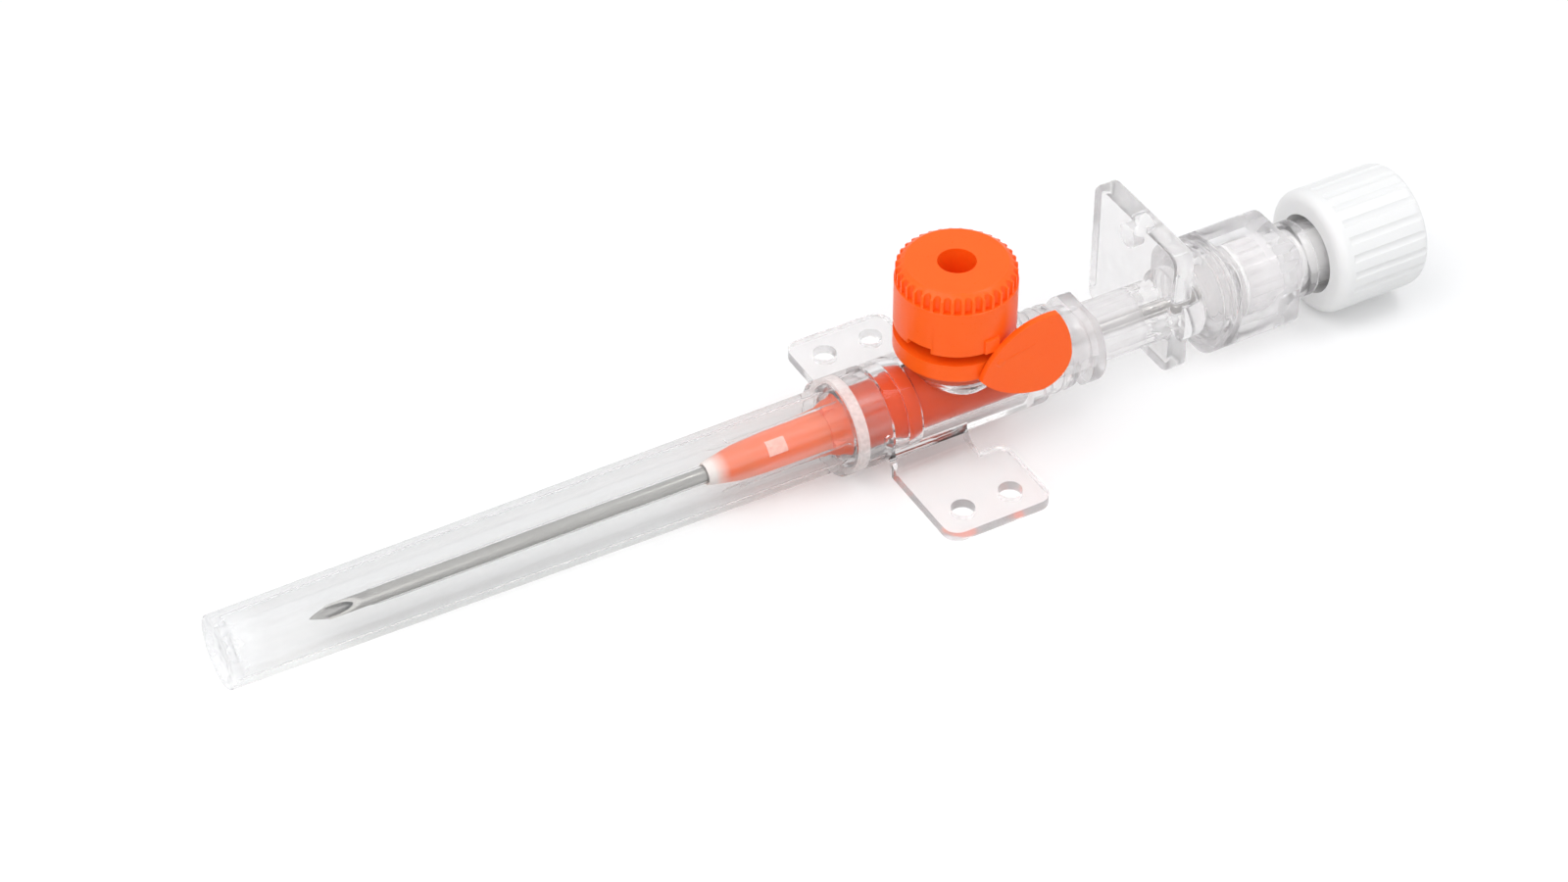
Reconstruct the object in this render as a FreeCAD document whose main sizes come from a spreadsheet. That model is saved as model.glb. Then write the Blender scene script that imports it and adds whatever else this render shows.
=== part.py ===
import FreeCAD, Part
import os
import Sketcher
from FreeCAD import Placement, Rotation, Vector

# Winged intravenous cannula with an injection port, lying along X with its point toward -X.
# The origin is the middle of the four wing holes, on the underside of the wings. +Z is up.
# All lengths are millimetres. Names ending in _x are places along the cannula, names ending
# in _z are heights above the cannula's own centre line, and _y is to the side of it.

SIZES = (
    # Where the centre line and the port stand
    ("axis_height", 3.4),
    ("port_x", 3.5),
    ("fit_gap", 0.05),
    ("sleeve_gap", 0.02),
    # Needle cover
    ("cover_tip_radius", 3.08),
    ("cover_tip_space", 8.3),
    ("cover_neck_radius", 3.5),
    ("cover_wall", 0.55),
    ("cover_end_wall", 1.1),
    ("cover_end_round", 0.3),
    ("cover_recess_radius", 1.9),
    ("cover_recess_depth", 0.35),
    ("collar_length", 4.3),
    ("collar_radius", 4.15),
    ("collar_slope", 0.3),
    ("collar_round", 0.35),
    ("cover_rib_length", 10.0),
    ("cover_rib_height", 0.42),
    ("cover_rib_width", 0.5),
    ("cover_rib_count", 4),
    ("mouth_gap", 0.12),
    # Catheter and its wedge
    ("catheter_radius", 0.75),
    ("catheter_reach", 29.65),
    ("catheter_tip_radius", 0.67),
    ("catheter_taper", 2.2),
    ("catheter_hold", 3.75),
    ("flare_length", 1.3),
    ("flare_growth", 0.3),
    ("ferrule_lead", 0.6),
    ("ferrule_rim_radius", 1.2),
    ("ferrule_rim_length", 0.5),
    # Steel needle
    ("needle_radius", 0.6),
    ("needle_bore_radius", 0.42),
    ("needle_point_reach", 4.6),
    ("needle_hold", 1.5),
    ("bevel_length", 3.8),
    ("lancet_length", 1.5),
    ("lancet_roll", 38),
    # Coloured core of the hub
    ("nose_tip_x", -19.95),
    ("core_rear_length", 5.5),
    ("nose_tip_radius", 0.98),
    ("nose_cone_length", 2.9),
    ("nose_shoulder_radius", 1.5),
    ("nose_body_radius", 1.9),
    ("nose_body_x", -9.0),
    ("core_radius", 2.7),
    ("core_flange_setback", 1.8),
    ("core_flange_length", 1.2),
    ("core_flange_radius", 3.15),
    ("core_bore_radius", 1.25),
    ("valve_bore_lead", 0.5),
    ("valve_bore_radius", 1.75),
    ("nose_fin_count", 4),
    ("nose_fin_width", 0.55),
    ("nose_fin_radius", 2.35),
    ("nose_fin_length", 9.5),
    ("window_setback", 7.15),
    ("window_length", 1.6),
    ("window_width", 1.3),
    ("window_depth", 0.45),
    ("funnel_foot_z", 0.9),
    ("funnel_foot_radius", 2.1),
    ("funnel_top_z", 3.3),
    ("funnel_top_radius", 4.1),
    ("port_tube_radius", 3.3),
    ("port_tube_space", 0.8),
    ("port_bore_radius", 2.12),
    # Silicone sleeve that closes the port from inside
    ("valve_wall", 0.3),
    ("valve_length", 8.6),
    # Clear hub with its wings
    ("spigot_length", 3.3),
    ("spigot_radius", 3.5),
    ("spigot_bore_radius", 2.9),
    ("hub_front_x", -4.4),
    ("hub_radius", 4.12),
    ("hub_rear_length", 5.6),
    ("hub_rear_radius", 3.7),
    ("hub_rear_x", 16.2),
    ("hub_neck_radius", 3.2),
    ("lug_length", 1.3),
    ("lug_radius", 3.9),
    ("lug_flat", 3.3),
    ("luer_mouth_radius", 2.15),
    ("luer_slope", 0.03),
    ("boss_foot_z", 1.2),
    ("boss_foot_radius", 3.4),
    ("boss_rise", 0.05),
    ("boss_radius", 4.65),
    ("wing_length", 9.8),
    ("wing_span", 27.8),
    ("wing_thickness", 0.9),
    ("wing_corner", 1.3),
    ("wing_root_length", 7.4),
    ("wing_root_y", 4.05),
    ("wing_root_bend", 1.6),
    ("wing_under_round", 0.6),
    ("wing_plate_y", 6.1),
    ("collar_clearance", 0.3),
    ("hole_spacing_x", 4.5),
    ("hole_spacing_y", 22.6),
    ("hole_radius", 1.0),
    # Ring at the foot of the port, with the tether strap
    ("ring_radius", 5.1),
    ("ring_height", 1.8),
    ("ring_round", 0.3),
    ("strap_thickness", 0.45),
    ("strap_gap", 0.15),
    ("strap_height", 3.6),
    ("strap_foot", 0.9),
    ("strap_angle", 34),
    # Port cap
    ("cap_radius", 5.1),
    ("slot_height", 0.95),
    ("cap_height", 5.95),
    ("cap_wall", 1.25),
    ("cap_roof", 1.5),
    ("cap_face_radius", 4.25),
    ("cap_bevel_height", 0.5),
    ("knurl_radius", 5.0),
    ("knurl_height", 1.65),
    ("knurl_depth", 0.42),
    ("knurl_groove_radius", 0.32),
    ("knurl_count", 36),
    ("cap_hole_radius", 1.62),
    ("cap_hole_floor", 0.5),
    ("plug_wall", 0.43),
    ("plug_reach", 2.0),
    ("notch_height", 0.5),
    ("notch_angle", 26),
    ("notch_start", 190),
    ("tab_thickness", 0.55),
    ("tab_gap", 0.15),
    ("tab_drop", 5.5),
    ("tab_rise", 2.05),
    ("tab_root_drop", 2.37),
    ("tab_root_x", -0.85),
    ("tab_corner", 6.3),
    ("tab_reach", 7.8),
    ("tab_sole", 5.1),
    ("tab_upper_radius", 6.45),
    ("tab_side_radius", 9.0),
    ("tab_heel_radius", 2.85),
    ("tab_lower_radius", 8.8),
    ("web_x", -0.3),
    ("web_width", 1.3),
    ("web_height", 1.3),
    # Needle hub: nose, fluted barrel, grip plate and rear socket
    ("barrel_gap", 0.15),
    ("hub_nose_space", 0.7),
    ("barrel_length", 7.1),
    ("barrel_radius", 2.7),
    ("flute_count", 12),
    ("flute_radius", 0.42),
    ("flute_depth", 0.25),
    ("plate_thickness", 2.0),
    ("plate_size", 12.6),
    ("plate_near_y", -2.6),
    ("plate_bottom_z", -5.5),
    ("plate_corner", 1.2),
    ("plate_edge_round", 0.3),
    ("plate_hole_inset_y", 5.4),
    ("plate_hole_inset_z", 2.3),
    ("plate_hole_radius", 1.1),
    ("socket_length", 3.9),
    ("socket_neck_length", 1.0),
    ("socket_neck_radius", 3.3),
    ("socket_front_round", 0.7),
    ("socket_bore_radius", 3.0),
    ("socket_floor", 1.7),
    ("socket_lip", 1.2),
    # Flashback chamber
    ("seam_gap", 0.1),
    ("chamber_half", 4.2),
    ("chamber_corner", 2.0),
    ("chamber_length", 6.3),
    ("chamber_bore_radius", 3.4),
    ("chamber_floor", 1.2),
    ("neck_length", 7.8),
    ("neck_radius", 2.95),
    ("neck_ring_setback", 1.55),
    ("neck_ring_length", 0.9),
    ("neck_ring_radius", 3.4),
    ("neck_lug_radius", 3.45),
    ("neck_lug_flat", 3.1),
    # Vent plug and membrane
    ("membrane_thickness", 0.25),
    ("plug_length", 3.4),
    ("plug_bore_radius", 0.8),
    ("plug_rib_count", 24),
    ("plug_rib_depth", 0.3),
    # White luer cap
    ("luer_cap_length", 9.25),
    ("neck_exposed", 3.4),
    ("luer_cap_radius", 5.58),
    ("luer_cap_wall", 2.0),
    ("luer_cap_roof", 2.0),
    ("luer_cap_round", 0.9),
    ("luer_cap_front_round", 0.95),
    ("grip_start", 1.3),
    ("grip_groove_count", 22),
    ("grip_groove_radius", 0.5),
    ("grip_groove_depth", 0.16),
    ("luer_plug_reach", 1.6),
)


NEAR = 0.02
PARALLEL = 1e-6
FULL_TURN = 360


class Size:
    """A number together with the sheet formula that it comes from."""

    def __init__(self, value, formula):
        self.value = float(value)
        self.formula = formula

    def __add__(self, other):
        return combine(self, other, "+", self.value + number(other))

    def __sub__(self, other):
        return combine(self, other, "-", self.value - number(other))

    def __mul__(self, other):
        return combine(self, other, "*", self.value * number(other))

    def __truediv__(self, other):
        return combine(self, other, "/", self.value / number(other))

    def __neg__(self):
        return Size(-self.value, "(0 - " + self.formula + ")")


def number(item):
    """The plain value of a Size or of a number."""
    return item.value if isinstance(item, Size) else float(item)


def wording(item):
    """The formula of a Size or of a number."""
    return item.formula if isinstance(item, Size) else repr(float(item))


def combine(left, right, sign, value):
    """One Size out of two, with its formula in brackets."""
    return Size(value, "(" + wording(left) + " " + sign + " " + wording(right) + ")")


ZERO = Size(0, "0")
doc = FreeCAD.newDocument("WingedCannula")
sheet = doc.addObject("Spreadsheet::Sheet", "Sizes")


def fill_sheet():
    """Write each driving size into the sheet and hand back the names as Sizes."""
    named = {}
    for row, (name, value) in enumerate(SIZES, start=1):
        sheet.set("A" + str(row), name)
        sheet.set("B" + str(row), str(value))
        sheet.setAlias("B" + str(row), name)
        named[name] = Size(value, "Sizes." + name)
    doc.recompute()
    return named


s = fill_sheet()


def bind(thing, prop, size):
    """Give a property its formula."""
    thing.setExpression(prop, wording(size))


def new_body(label, x=ZERO, z=None):
    """A body whose own X axis is the cannula's centre line, or whose Z axis is the port's."""
    body = doc.addObject("PartDesign::Body", label)
    body.Label = label
    bind(body, "Placement.Base.x", x)
    bind(body, "Placement.Base.z", s["axis_height"])
    return body


def origin_feature(body, role):
    """One of the body's own origin planes or axes."""
    return [item for item in body.Origin.OriginFeatures if item.Role == role][0]


def new_sketch(body, name, role, offset=None):
    """A sketch on one of the body's origin planes, moved along the plane's normal."""
    sketch = body.newObject("Sketcher::SketchObject", name)
    sketch.AttachmentSupport = [(origin_feature(body, role), "")]
    sketch.MapMode = "FlatFace"
    if offset is not None:
        bind(sketch, "AttachmentOffset.Base.z", offset)
    return sketch


def hold(sketch, geo, place, x, y):
    """Hold one point of a sketch at a place given by two Sizes."""
    for kind, size, axis in (("DistanceX", x, -2), ("DistanceY", y, -1)):
        if size.formula == "0":
            sketch.addConstraint(Sketcher.Constraint("PointOnObject", geo, place, axis))
        else:
            index = sketch.addConstraint(
                Sketcher.Constraint(kind, -1, 1, geo, place, size.value))
            sketch.setExpression("Constraints[" + str(index) + "]", size.formula)


def closed_outline(sketch, corners):
    """Straight lines from corner to corner, closed, with each corner held."""
    first = sketch.GeometryCount
    count = len(corners)
    for index, (x, y) in enumerate(corners):
        next_x, next_y = corners[(index + 1) % count]
        sketch.addGeometry(Part.LineSegment(
            Vector(x.value, y.value, 0), Vector(next_x.value, next_y.value, 0)), False)
    for index in range(count):
        sketch.addConstraint(Sketcher.Constraint(
            "Coincident", first + index, 2, first + (index + 1) % count, 1))
    for index, (x, y) in enumerate(corners):
        hold(sketch, first + index, 1, x, y)


def held_circle(sketch, x, y, radius):
    """A circle whose middle and radius are Sizes."""
    geo = sketch.addGeometry(
        Part.Circle(Vector(x.value, y.value, 0), Vector(0, 0, 1), radius.value), False)
    hold(sketch, geo, 3, x, y)
    index = sketch.addConstraint(Sketcher.Constraint("Radius", geo, radius.value))
    sketch.setExpression("Constraints[" + str(index) + "]", radius.formula)


def arc_outline(sketch, stops):
    """Arcs from stop to stop, closed, that bulge outward when the stops run clockwise.

    Each stop is its place and the radius of the arc that leaves it.
    """
    first = sketch.GeometryCount
    count = len(stops)
    for index, (x, y, radius) in enumerate(stops):
        next_x, next_y, _ = stops[(index + 1) % count]
        start = Vector(x.value, y.value, 0)
        end = Vector(next_x.value, next_y.value, 0)
        half = (end - start) / 2
        outward = Vector(-half.y, half.x, 0).normalize()
        sag = radius.value - (radius.value ** 2 - half.Length ** 2) ** 0.5
        sketch.addGeometry(Part.Arc(start, start + half + outward * sag, end), False)
    for index in range(count):
        sketch.addConstraint(Sketcher.Constraint(
            "Coincident", first + index, 1, first + (index + 1) % count, 2))
    for index, (x, y, radius) in enumerate(stops):
        hold(sketch, first + index, 2, x, y)
        rule = sketch.addConstraint(Sketcher.Constraint("Radius", first + index, radius.value))
        sketch.setExpression("Constraints[" + str(rule) + "]", radius.formula)


def rectangle(sketch, x_low, x_high, y_low, y_high):
    """A rectangle between four Sizes."""
    closed_outline(sketch, [(x_low, y_low), (x_high, y_low), (x_high, y_high), (x_low, y_high)])


def turned(body, name, corners, groove=False, upright=False):
    """A full turn of an outline: about the centre line, or about the port's axis if upright."""
    sketch = new_sketch(body, name + "_outline", "XZ_Plane")
    closed_outline(sketch, corners)
    kind = "PartDesign::Groove" if groove else "PartDesign::Revolution"
    feature = body.newObject(kind, name)
    feature.Profile = sketch
    feature.ReferenceAxis = (sketch, ["V_Axis" if upright else "H_Axis"])
    feature.Angle = FULL_TURN
    sketch.Visibility = False
    return feature


def pad(body, sketch, name, length, reverse=False, midplane=False):
    """A pad of a sketch over a length."""
    feature = body.newObject("PartDesign::Pad", name)
    feature.Profile = sketch
    feature.Type = "Length"
    bind(feature, "Length", length)
    feature.Reversed = reverse
    feature.Midplane = midplane
    return feature


def pocket(body, sketch, name, length, reverse=False, midplane=False):
    """A pocket of a sketch over a length."""
    feature = body.newObject("PartDesign::Pocket", name)
    feature.Profile = sketch
    feature.Type = "Length"
    bind(feature, "Length", length)
    feature.Reversed = reverse
    feature.Midplane = midplane
    return feature


def ring_of(body, feature, name, axis_role, count):
    """Copies of a feature all round one of the body's own axes."""
    pattern = body.newObject("PartDesign::PolarPattern", name)
    pattern.Originals = [feature]
    pattern.Axis = (origin_feature(body, axis_role), [""])
    pattern.Angle = FULL_TURN
    bind(pattern, "Occurrences", count)
    body.Tip = pattern
    return pattern


def edges_where(feature, test):
    """Names of the feature's edges that a test picks."""
    doc.recompute()
    found = []
    for index, edge in enumerate(feature.Shape.Edges, start=1):
        if test(edge):
            found.append("Edge" + str(index))
    return found


def rounded(body, feature, name, radius, test):
    """Round the edges that a test picks."""
    names = edges_where(feature, test)
    fillet = body.newObject("PartDesign::Fillet", name)
    fillet.Base = (feature, names)
    bind(fillet, "Radius", radius)
    return fillet


def is_circle_at(edge, axis, place, radius):
    """True for a circular edge of a radius whose middle is at a place along an axis."""
    curve = edge.Curve
    if curve.TypeId != "Part::GeomCircle" or abs(curve.Radius - radius) > NEAR:
        return False
    return abs(getattr(curve.Center, axis) - place) < NEAR


def is_straight_along(edge, axis):
    """True for a straight edge that runs along an axis."""
    if edge.Curve.TypeId != "Part::GeomLine":
        return False
    return abs(abs(getattr(edge.Curve.Direction, axis)) - 1) < PARALLEL


def is_beside(edge, y, z):
    """True for an edge whose middle is at a distance to the side and at a height."""
    middle = edge.CenterOfMass
    return abs(abs(middle.y) - y) < NEAR and abs(middle.z - z) < NEAR


def turned_by(sketch, axis, angle):
    """Turn a sketch on its plane about one of its own axes by a held angle."""
    sketch.AttachmentOffset = Placement(Vector(0, 0, 0), Rotation(axis, angle.value))
    for name, part in zip("xyz", axis):
        bind(sketch, "AttachmentOffset.Rotation.Axis." + name, Size(part, repr(part)))
    bind(sketch, "AttachmentOffset.Rotation.Angle", angle)


# Places that follow from the driving sizes
mouth_x = s["hub_front_x"] - s["mouth_gap"]
collar_x = mouth_x - s["collar_length"]
spigot_x = s["hub_front_x"] - s["spigot_length"]
catheter_tip_x = s["nose_tip_x"] - s["catheter_reach"]
catheter_end_x = s["nose_tip_x"] + s["catheter_hold"]
needle_tip_x = catheter_tip_x - s["needle_point_reach"]
cover_tip_x = needle_tip_x - s["cover_tip_space"]
cover_bore_tip = s["cover_tip_radius"] - s["cover_wall"]
cover_bore_neck = s["cover_neck_radius"] - s["cover_wall"]
catheter_bore = s["needle_radius"] + s["sleeve_gap"]
flare_x = catheter_end_x - s["flare_length"]
flare_radius = s["catheter_radius"] + s["flare_growth"]
flare_bore = catheter_bore + s["flare_growth"]
ferrule_end_x = catheter_end_x + s["ferrule_rim_length"]
nose_shoulder_x = s["nose_tip_x"] + s["nose_cone_length"]
window_x = s["nose_tip_x"] + s["window_setback"]
core_end_x = s["port_x"] + s["core_rear_length"]
core_flange_x = s["hub_front_x"] + s["core_flange_setback"]
core_flange_end_x = core_flange_x + s["core_flange_length"]
valve_bore_x = s["port_x"] - s["valve_length"] / 2 - s["valve_bore_lead"]
hub_step_x = s["hub_rear_x"] - s["hub_rear_length"]
barrel_x = s["hub_rear_x"] + s["barrel_gap"]
hub_nose_x = core_end_x + s["hub_nose_space"]
luer_depth = s["hub_rear_x"] - core_end_x
luer_floor_radius = s["luer_mouth_radius"] - luer_depth * s["luer_slope"]
nose_depth = s["hub_rear_x"] - hub_nose_x
plate_x = barrel_x + s["barrel_length"]
plate_rear_x = plate_x + s["plate_thickness"]
block_x = plate_rear_x + s["socket_neck_length"]
needle_end_x = plate_rear_x + s["needle_hold"]
seam_x = plate_rear_x + s["socket_length"]
chamber_x = seam_x + s["seam_gap"]
chamber_end_x = chamber_x + s["chamber_length"]
neck_end_x = chamber_end_x + s["neck_length"]
neck_ring_x = chamber_end_x + s["neck_ring_setback"]
lip_end_x = seam_x + s["socket_lip"]
membrane_x = lip_end_x + s["fit_gap"]
plug_x = membrane_x + s["membrane_thickness"] + s["fit_gap"]
chamber_bore_end_x = plug_x + s["plug_length"] + s["fit_gap"]
luer_cap_x = chamber_end_x + s["neck_exposed"]
luer_cap_end_x = luer_cap_x + s["luer_cap_length"]
luer_cap_floor_x = luer_cap_end_x - s["luer_cap_roof"]
boss_top_z = s["hub_radius"] + s["boss_rise"]
ring_bottom_z = boss_top_z + s["fit_gap"]
ring_top_z = ring_bottom_z + s["ring_height"]
cap_bottom_z = ring_top_z + s["slot_height"]
cap_top_z = cap_bottom_z + s["cap_height"]
cap_roof_z = cap_top_z - s["cap_roof"]
port_tube_top_z = cap_roof_z - s["port_tube_space"]
plug_bottom_z = port_tube_top_z - s["plug_reach"]


def make_needle_cover():
    """Long drafted tube, closed at the point end, with a stepped collar over the hub."""
    body = new_body("needle_cover")
    shell = turned(body, "cover_shell", [
        (cover_tip_x + s["cover_recess_depth"], ZERO),
        (cover_tip_x + s["cover_recess_depth"], s["cover_recess_radius"]),
        (cover_tip_x, s["cover_recess_radius"] + s["cover_recess_depth"]),
        (cover_tip_x, s["cover_tip_radius"]),
        (collar_x, s["cover_neck_radius"]),
        (collar_x + s["collar_slope"], s["collar_radius"]),
        (mouth_x, s["collar_radius"]),
        (mouth_x, s["spigot_radius"] + s["fit_gap"]),
        (spigot_x - s["mouth_gap"], s["spigot_radius"] + s["fit_gap"]),
        (spigot_x - s["mouth_gap"], cover_bore_neck),
        (cover_tip_x + s["cover_end_wall"], cover_bore_tip),
        (cover_tip_x + s["cover_end_wall"], ZERO),
    ])
    tip = cover_tip_x.value
    end = rounded(body, shell, "cover_end_rounding", s["cover_end_round"],
                  lambda edge: is_circle_at(edge, "x", tip, s["cover_tip_radius"].value))
    shoulder = (collar_x + s["collar_slope"]).value
    rounded(body, end, "collar_rounding", s["collar_round"],
            lambda edge: is_circle_at(edge, "x", shoulder, s["collar_radius"].value))
    rib_x = spigot_x - s["mouth_gap"] - s["cover_rib_length"]
    sketch = new_sketch(body, "cover_rib_section", "YZ_Plane", rib_x)
    half = s["cover_rib_width"] / 2
    rectangle(sketch, -half, half, cover_bore_neck - s["cover_rib_height"],
              cover_bore_neck + s["fit_gap"])
    rib = pad(body, sketch, "cover_rib", s["cover_rib_length"])
    ring_of(body, rib, "cover_ribs", "X_Axis", s["cover_rib_count"])
    return body


def make_catheter_tube():
    """Soft tube over the needle, drawn down at its point and flared inside the hub."""
    body = new_body("catheter_tube")
    turned(body, "tube_wall", [
        (catheter_tip_x, catheter_bore),
        (catheter_tip_x, s["catheter_tip_radius"]),
        (catheter_tip_x + s["catheter_taper"], s["catheter_radius"]),
        (flare_x, s["catheter_radius"]),
        (catheter_end_x, flare_radius),
        (catheter_end_x, flare_bore),
        (flare_x, catheter_bore),
    ])
    return body


def make_catheter_ferrule():
    """Metal wedge that spreads the tube's end inside the hub."""
    body = new_body("catheter_ferrule")
    lead_x = catheter_end_x - s["ferrule_lead"]
    lead_radius = flare_bore - s["flare_growth"] * s["ferrule_lead"] / s["flare_length"] - s["sleeve_gap"]
    turned(body, "ferrule_wall", [
        (lead_x, catheter_bore),
        (lead_x, lead_radius),
        (catheter_end_x, flare_bore - s["sleeve_gap"]),
        (catheter_end_x + s["sleeve_gap"], s["ferrule_rim_radius"]),
        (ferrule_end_x, s["ferrule_rim_radius"]),
        (ferrule_end_x, catheter_bore),
    ])
    return body


def make_needle():
    """Steel tube with a lancet point: one long bevel and two side facets."""
    body = new_body("needle")
    turned(body, "needle_tube", [
        (needle_tip_x, s["needle_bore_radius"]),
        (needle_tip_x, s["needle_radius"]),
        (needle_end_x, s["needle_radius"]),
        (needle_end_x, s["needle_bore_radius"]),
    ])
    sketch = new_sketch(body, "bevel_outline", "XZ_Plane")
    beyond = s["needle_radius"] * 2
    closed_outline(sketch, [
        (needle_tip_x, -s["needle_radius"]),
        (needle_tip_x + s["bevel_length"], s["needle_radius"]),
        (needle_tip_x + s["bevel_length"], beyond),
        (needle_tip_x - s["needle_radius"], beyond),
        (needle_tip_x - s["needle_radius"], -s["needle_radius"]),
    ])
    pocket(body, sketch, "bevel", beyond * 2, midplane=True)
    for name, turn in (("left", 1), ("right", -1)):
        facet = new_sketch(body, name + "_facet_outline", "XZ_Plane")
        turned_by(facet, Vector(1, 0, 0), s["lancet_roll"] * turn)
        closed_outline(facet, [
            (needle_tip_x, -s["needle_radius"]),
            (needle_tip_x + s["lancet_length"], ZERO),
            (needle_tip_x + s["lancet_length"], beyond),
            (needle_tip_x - s["needle_radius"], beyond),
            (needle_tip_x - s["needle_radius"], -s["needle_radius"]),
        ])
        pocket(body, facet, name + "_facet", beyond * 2, midplane=True)
    return body


def make_hub_nose():
    """Coloured core: nose with fins, barrel, retaining flange, and the funnel of the port."""
    body = new_body("hub_nose")
    turned(body, "nose_body", [
        (s["nose_tip_x"], ZERO),
        (s["nose_tip_x"], s["nose_tip_radius"]),
        (nose_shoulder_x, s["nose_shoulder_radius"]),
        (s["nose_body_x"], s["nose_body_radius"]),
        (s["nose_body_x"] + s["nose_body_radius"], s["core_radius"]),
        (core_flange_x, s["core_radius"]),
        (core_flange_x, s["core_flange_radius"]),
        (core_flange_end_x, s["core_flange_radius"]),
        (core_flange_end_x, s["core_radius"]),
        (core_end_x, s["core_radius"]),
        (core_end_x, ZERO),
    ])
    fin_x = s["nose_body_x"] + s["nose_body_radius"] - s["nose_fin_length"]
    sketch = new_sketch(body, "fin_section", "YZ_Plane", fin_x)
    half = s["nose_fin_width"] / 2
    rectangle(sketch, -half, half, ZERO, s["nose_fin_radius"])
    fin = pad(body, sketch, "fin", s["nose_fin_length"])
    ring_of(body, fin, "fins", "X_Axis", s["nose_fin_count"])
    funnel = new_sketch(body, "funnel_outline", "XZ_Plane")
    closed_outline(funnel, [
        (s["port_x"], ZERO),
        (s["port_x"] + s["funnel_foot_radius"], ZERO),
        (s["port_x"] + s["funnel_foot_radius"], s["funnel_foot_z"]),
        (s["port_x"] + s["funnel_top_radius"], s["funnel_top_z"]),
        (s["port_x"] + s["funnel_top_radius"], boss_top_z),
        (s["port_x"] + s["port_tube_radius"], boss_top_z),
        (s["port_x"] + s["port_tube_radius"], port_tube_top_z),
        (s["port_x"], port_tube_top_z),
    ])
    add_upright(body, funnel, "funnel")
    turned(body, "core_bore", [
        (s["nose_tip_x"] - s["fit_gap"], ZERO),
        (s["nose_tip_x"] - s["fit_gap"], s["catheter_radius"] + s["sleeve_gap"]),
        (flare_x, s["catheter_radius"] + s["sleeve_gap"]),
        (catheter_end_x, flare_radius + s["sleeve_gap"]),
        (catheter_end_x, s["ferrule_rim_radius"] + s["sleeve_gap"]),
        (ferrule_end_x, s["core_bore_radius"]),
        (valve_bore_x - s["valve_bore_radius"], s["core_bore_radius"]),
        (valve_bore_x, s["valve_bore_radius"]),
        (core_end_x + s["fit_gap"], s["valve_bore_radius"]),
        (core_end_x + s["fit_gap"], ZERO),
    ], groove=True)
    bore = new_sketch(body, "port_bore_outline", "XZ_Plane")
    rectangle(bore, s["port_x"], s["port_x"] + s["port_bore_radius"],
              s["valve_bore_radius"] / 2, port_tube_top_z + s["fit_gap"])
    add_upright(body, bore, "port_bore", groove=True)
    window = new_sketch(body, "window_outline", "XZ_Plane", s["nose_body_radius"] - s["window_depth"])
    rectangle(window, window_x - s["window_length"] / 2, window_x + s["window_length"] / 2,
              -(s["window_width"] / 2), s["window_width"] / 2)
    pocket(body, window, "window", s["nose_body_radius"], reverse=True)
    return body


def add_upright(body, sketch, name, groove=False):
    """A full turn about the upright line through the port, drawn as a line in the sketch."""
    top, foot = -s["nose_tip_radius"], -s["hub_radius"]
    line = sketch.addGeometry(Part.LineSegment(
        Vector(s["port_x"].value, top.value, 0), Vector(s["port_x"].value, foot.value, 0)), True)
    hold(sketch, line, 1, s["port_x"], top)
    hold(sketch, line, 2, s["port_x"], foot)
    kind = "PartDesign::Groove" if groove else "PartDesign::Revolution"
    feature = body.newObject(kind, name)
    feature.Profile = sketch
    feature.ReferenceAxis = (sketch, ["Axis0"])
    feature.Angle = FULL_TURN
    return feature


def make_port_valve():
    """Silicone sleeve in the bore below the port, pushed aside by an injected fluid."""
    body = new_body("port_valve")
    outer = s["valve_bore_radius"] - s["fit_gap"]
    start_x = s["port_x"] - s["valve_length"] / 2
    end_x = s["port_x"] + s["valve_length"] / 2
    turned(body, "valve_wall_ring", [
        (start_x, outer - s["valve_wall"]),
        (start_x, outer),
        (end_x, outer),
        (end_x, outer - s["valve_wall"]),
    ])
    return body


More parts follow.
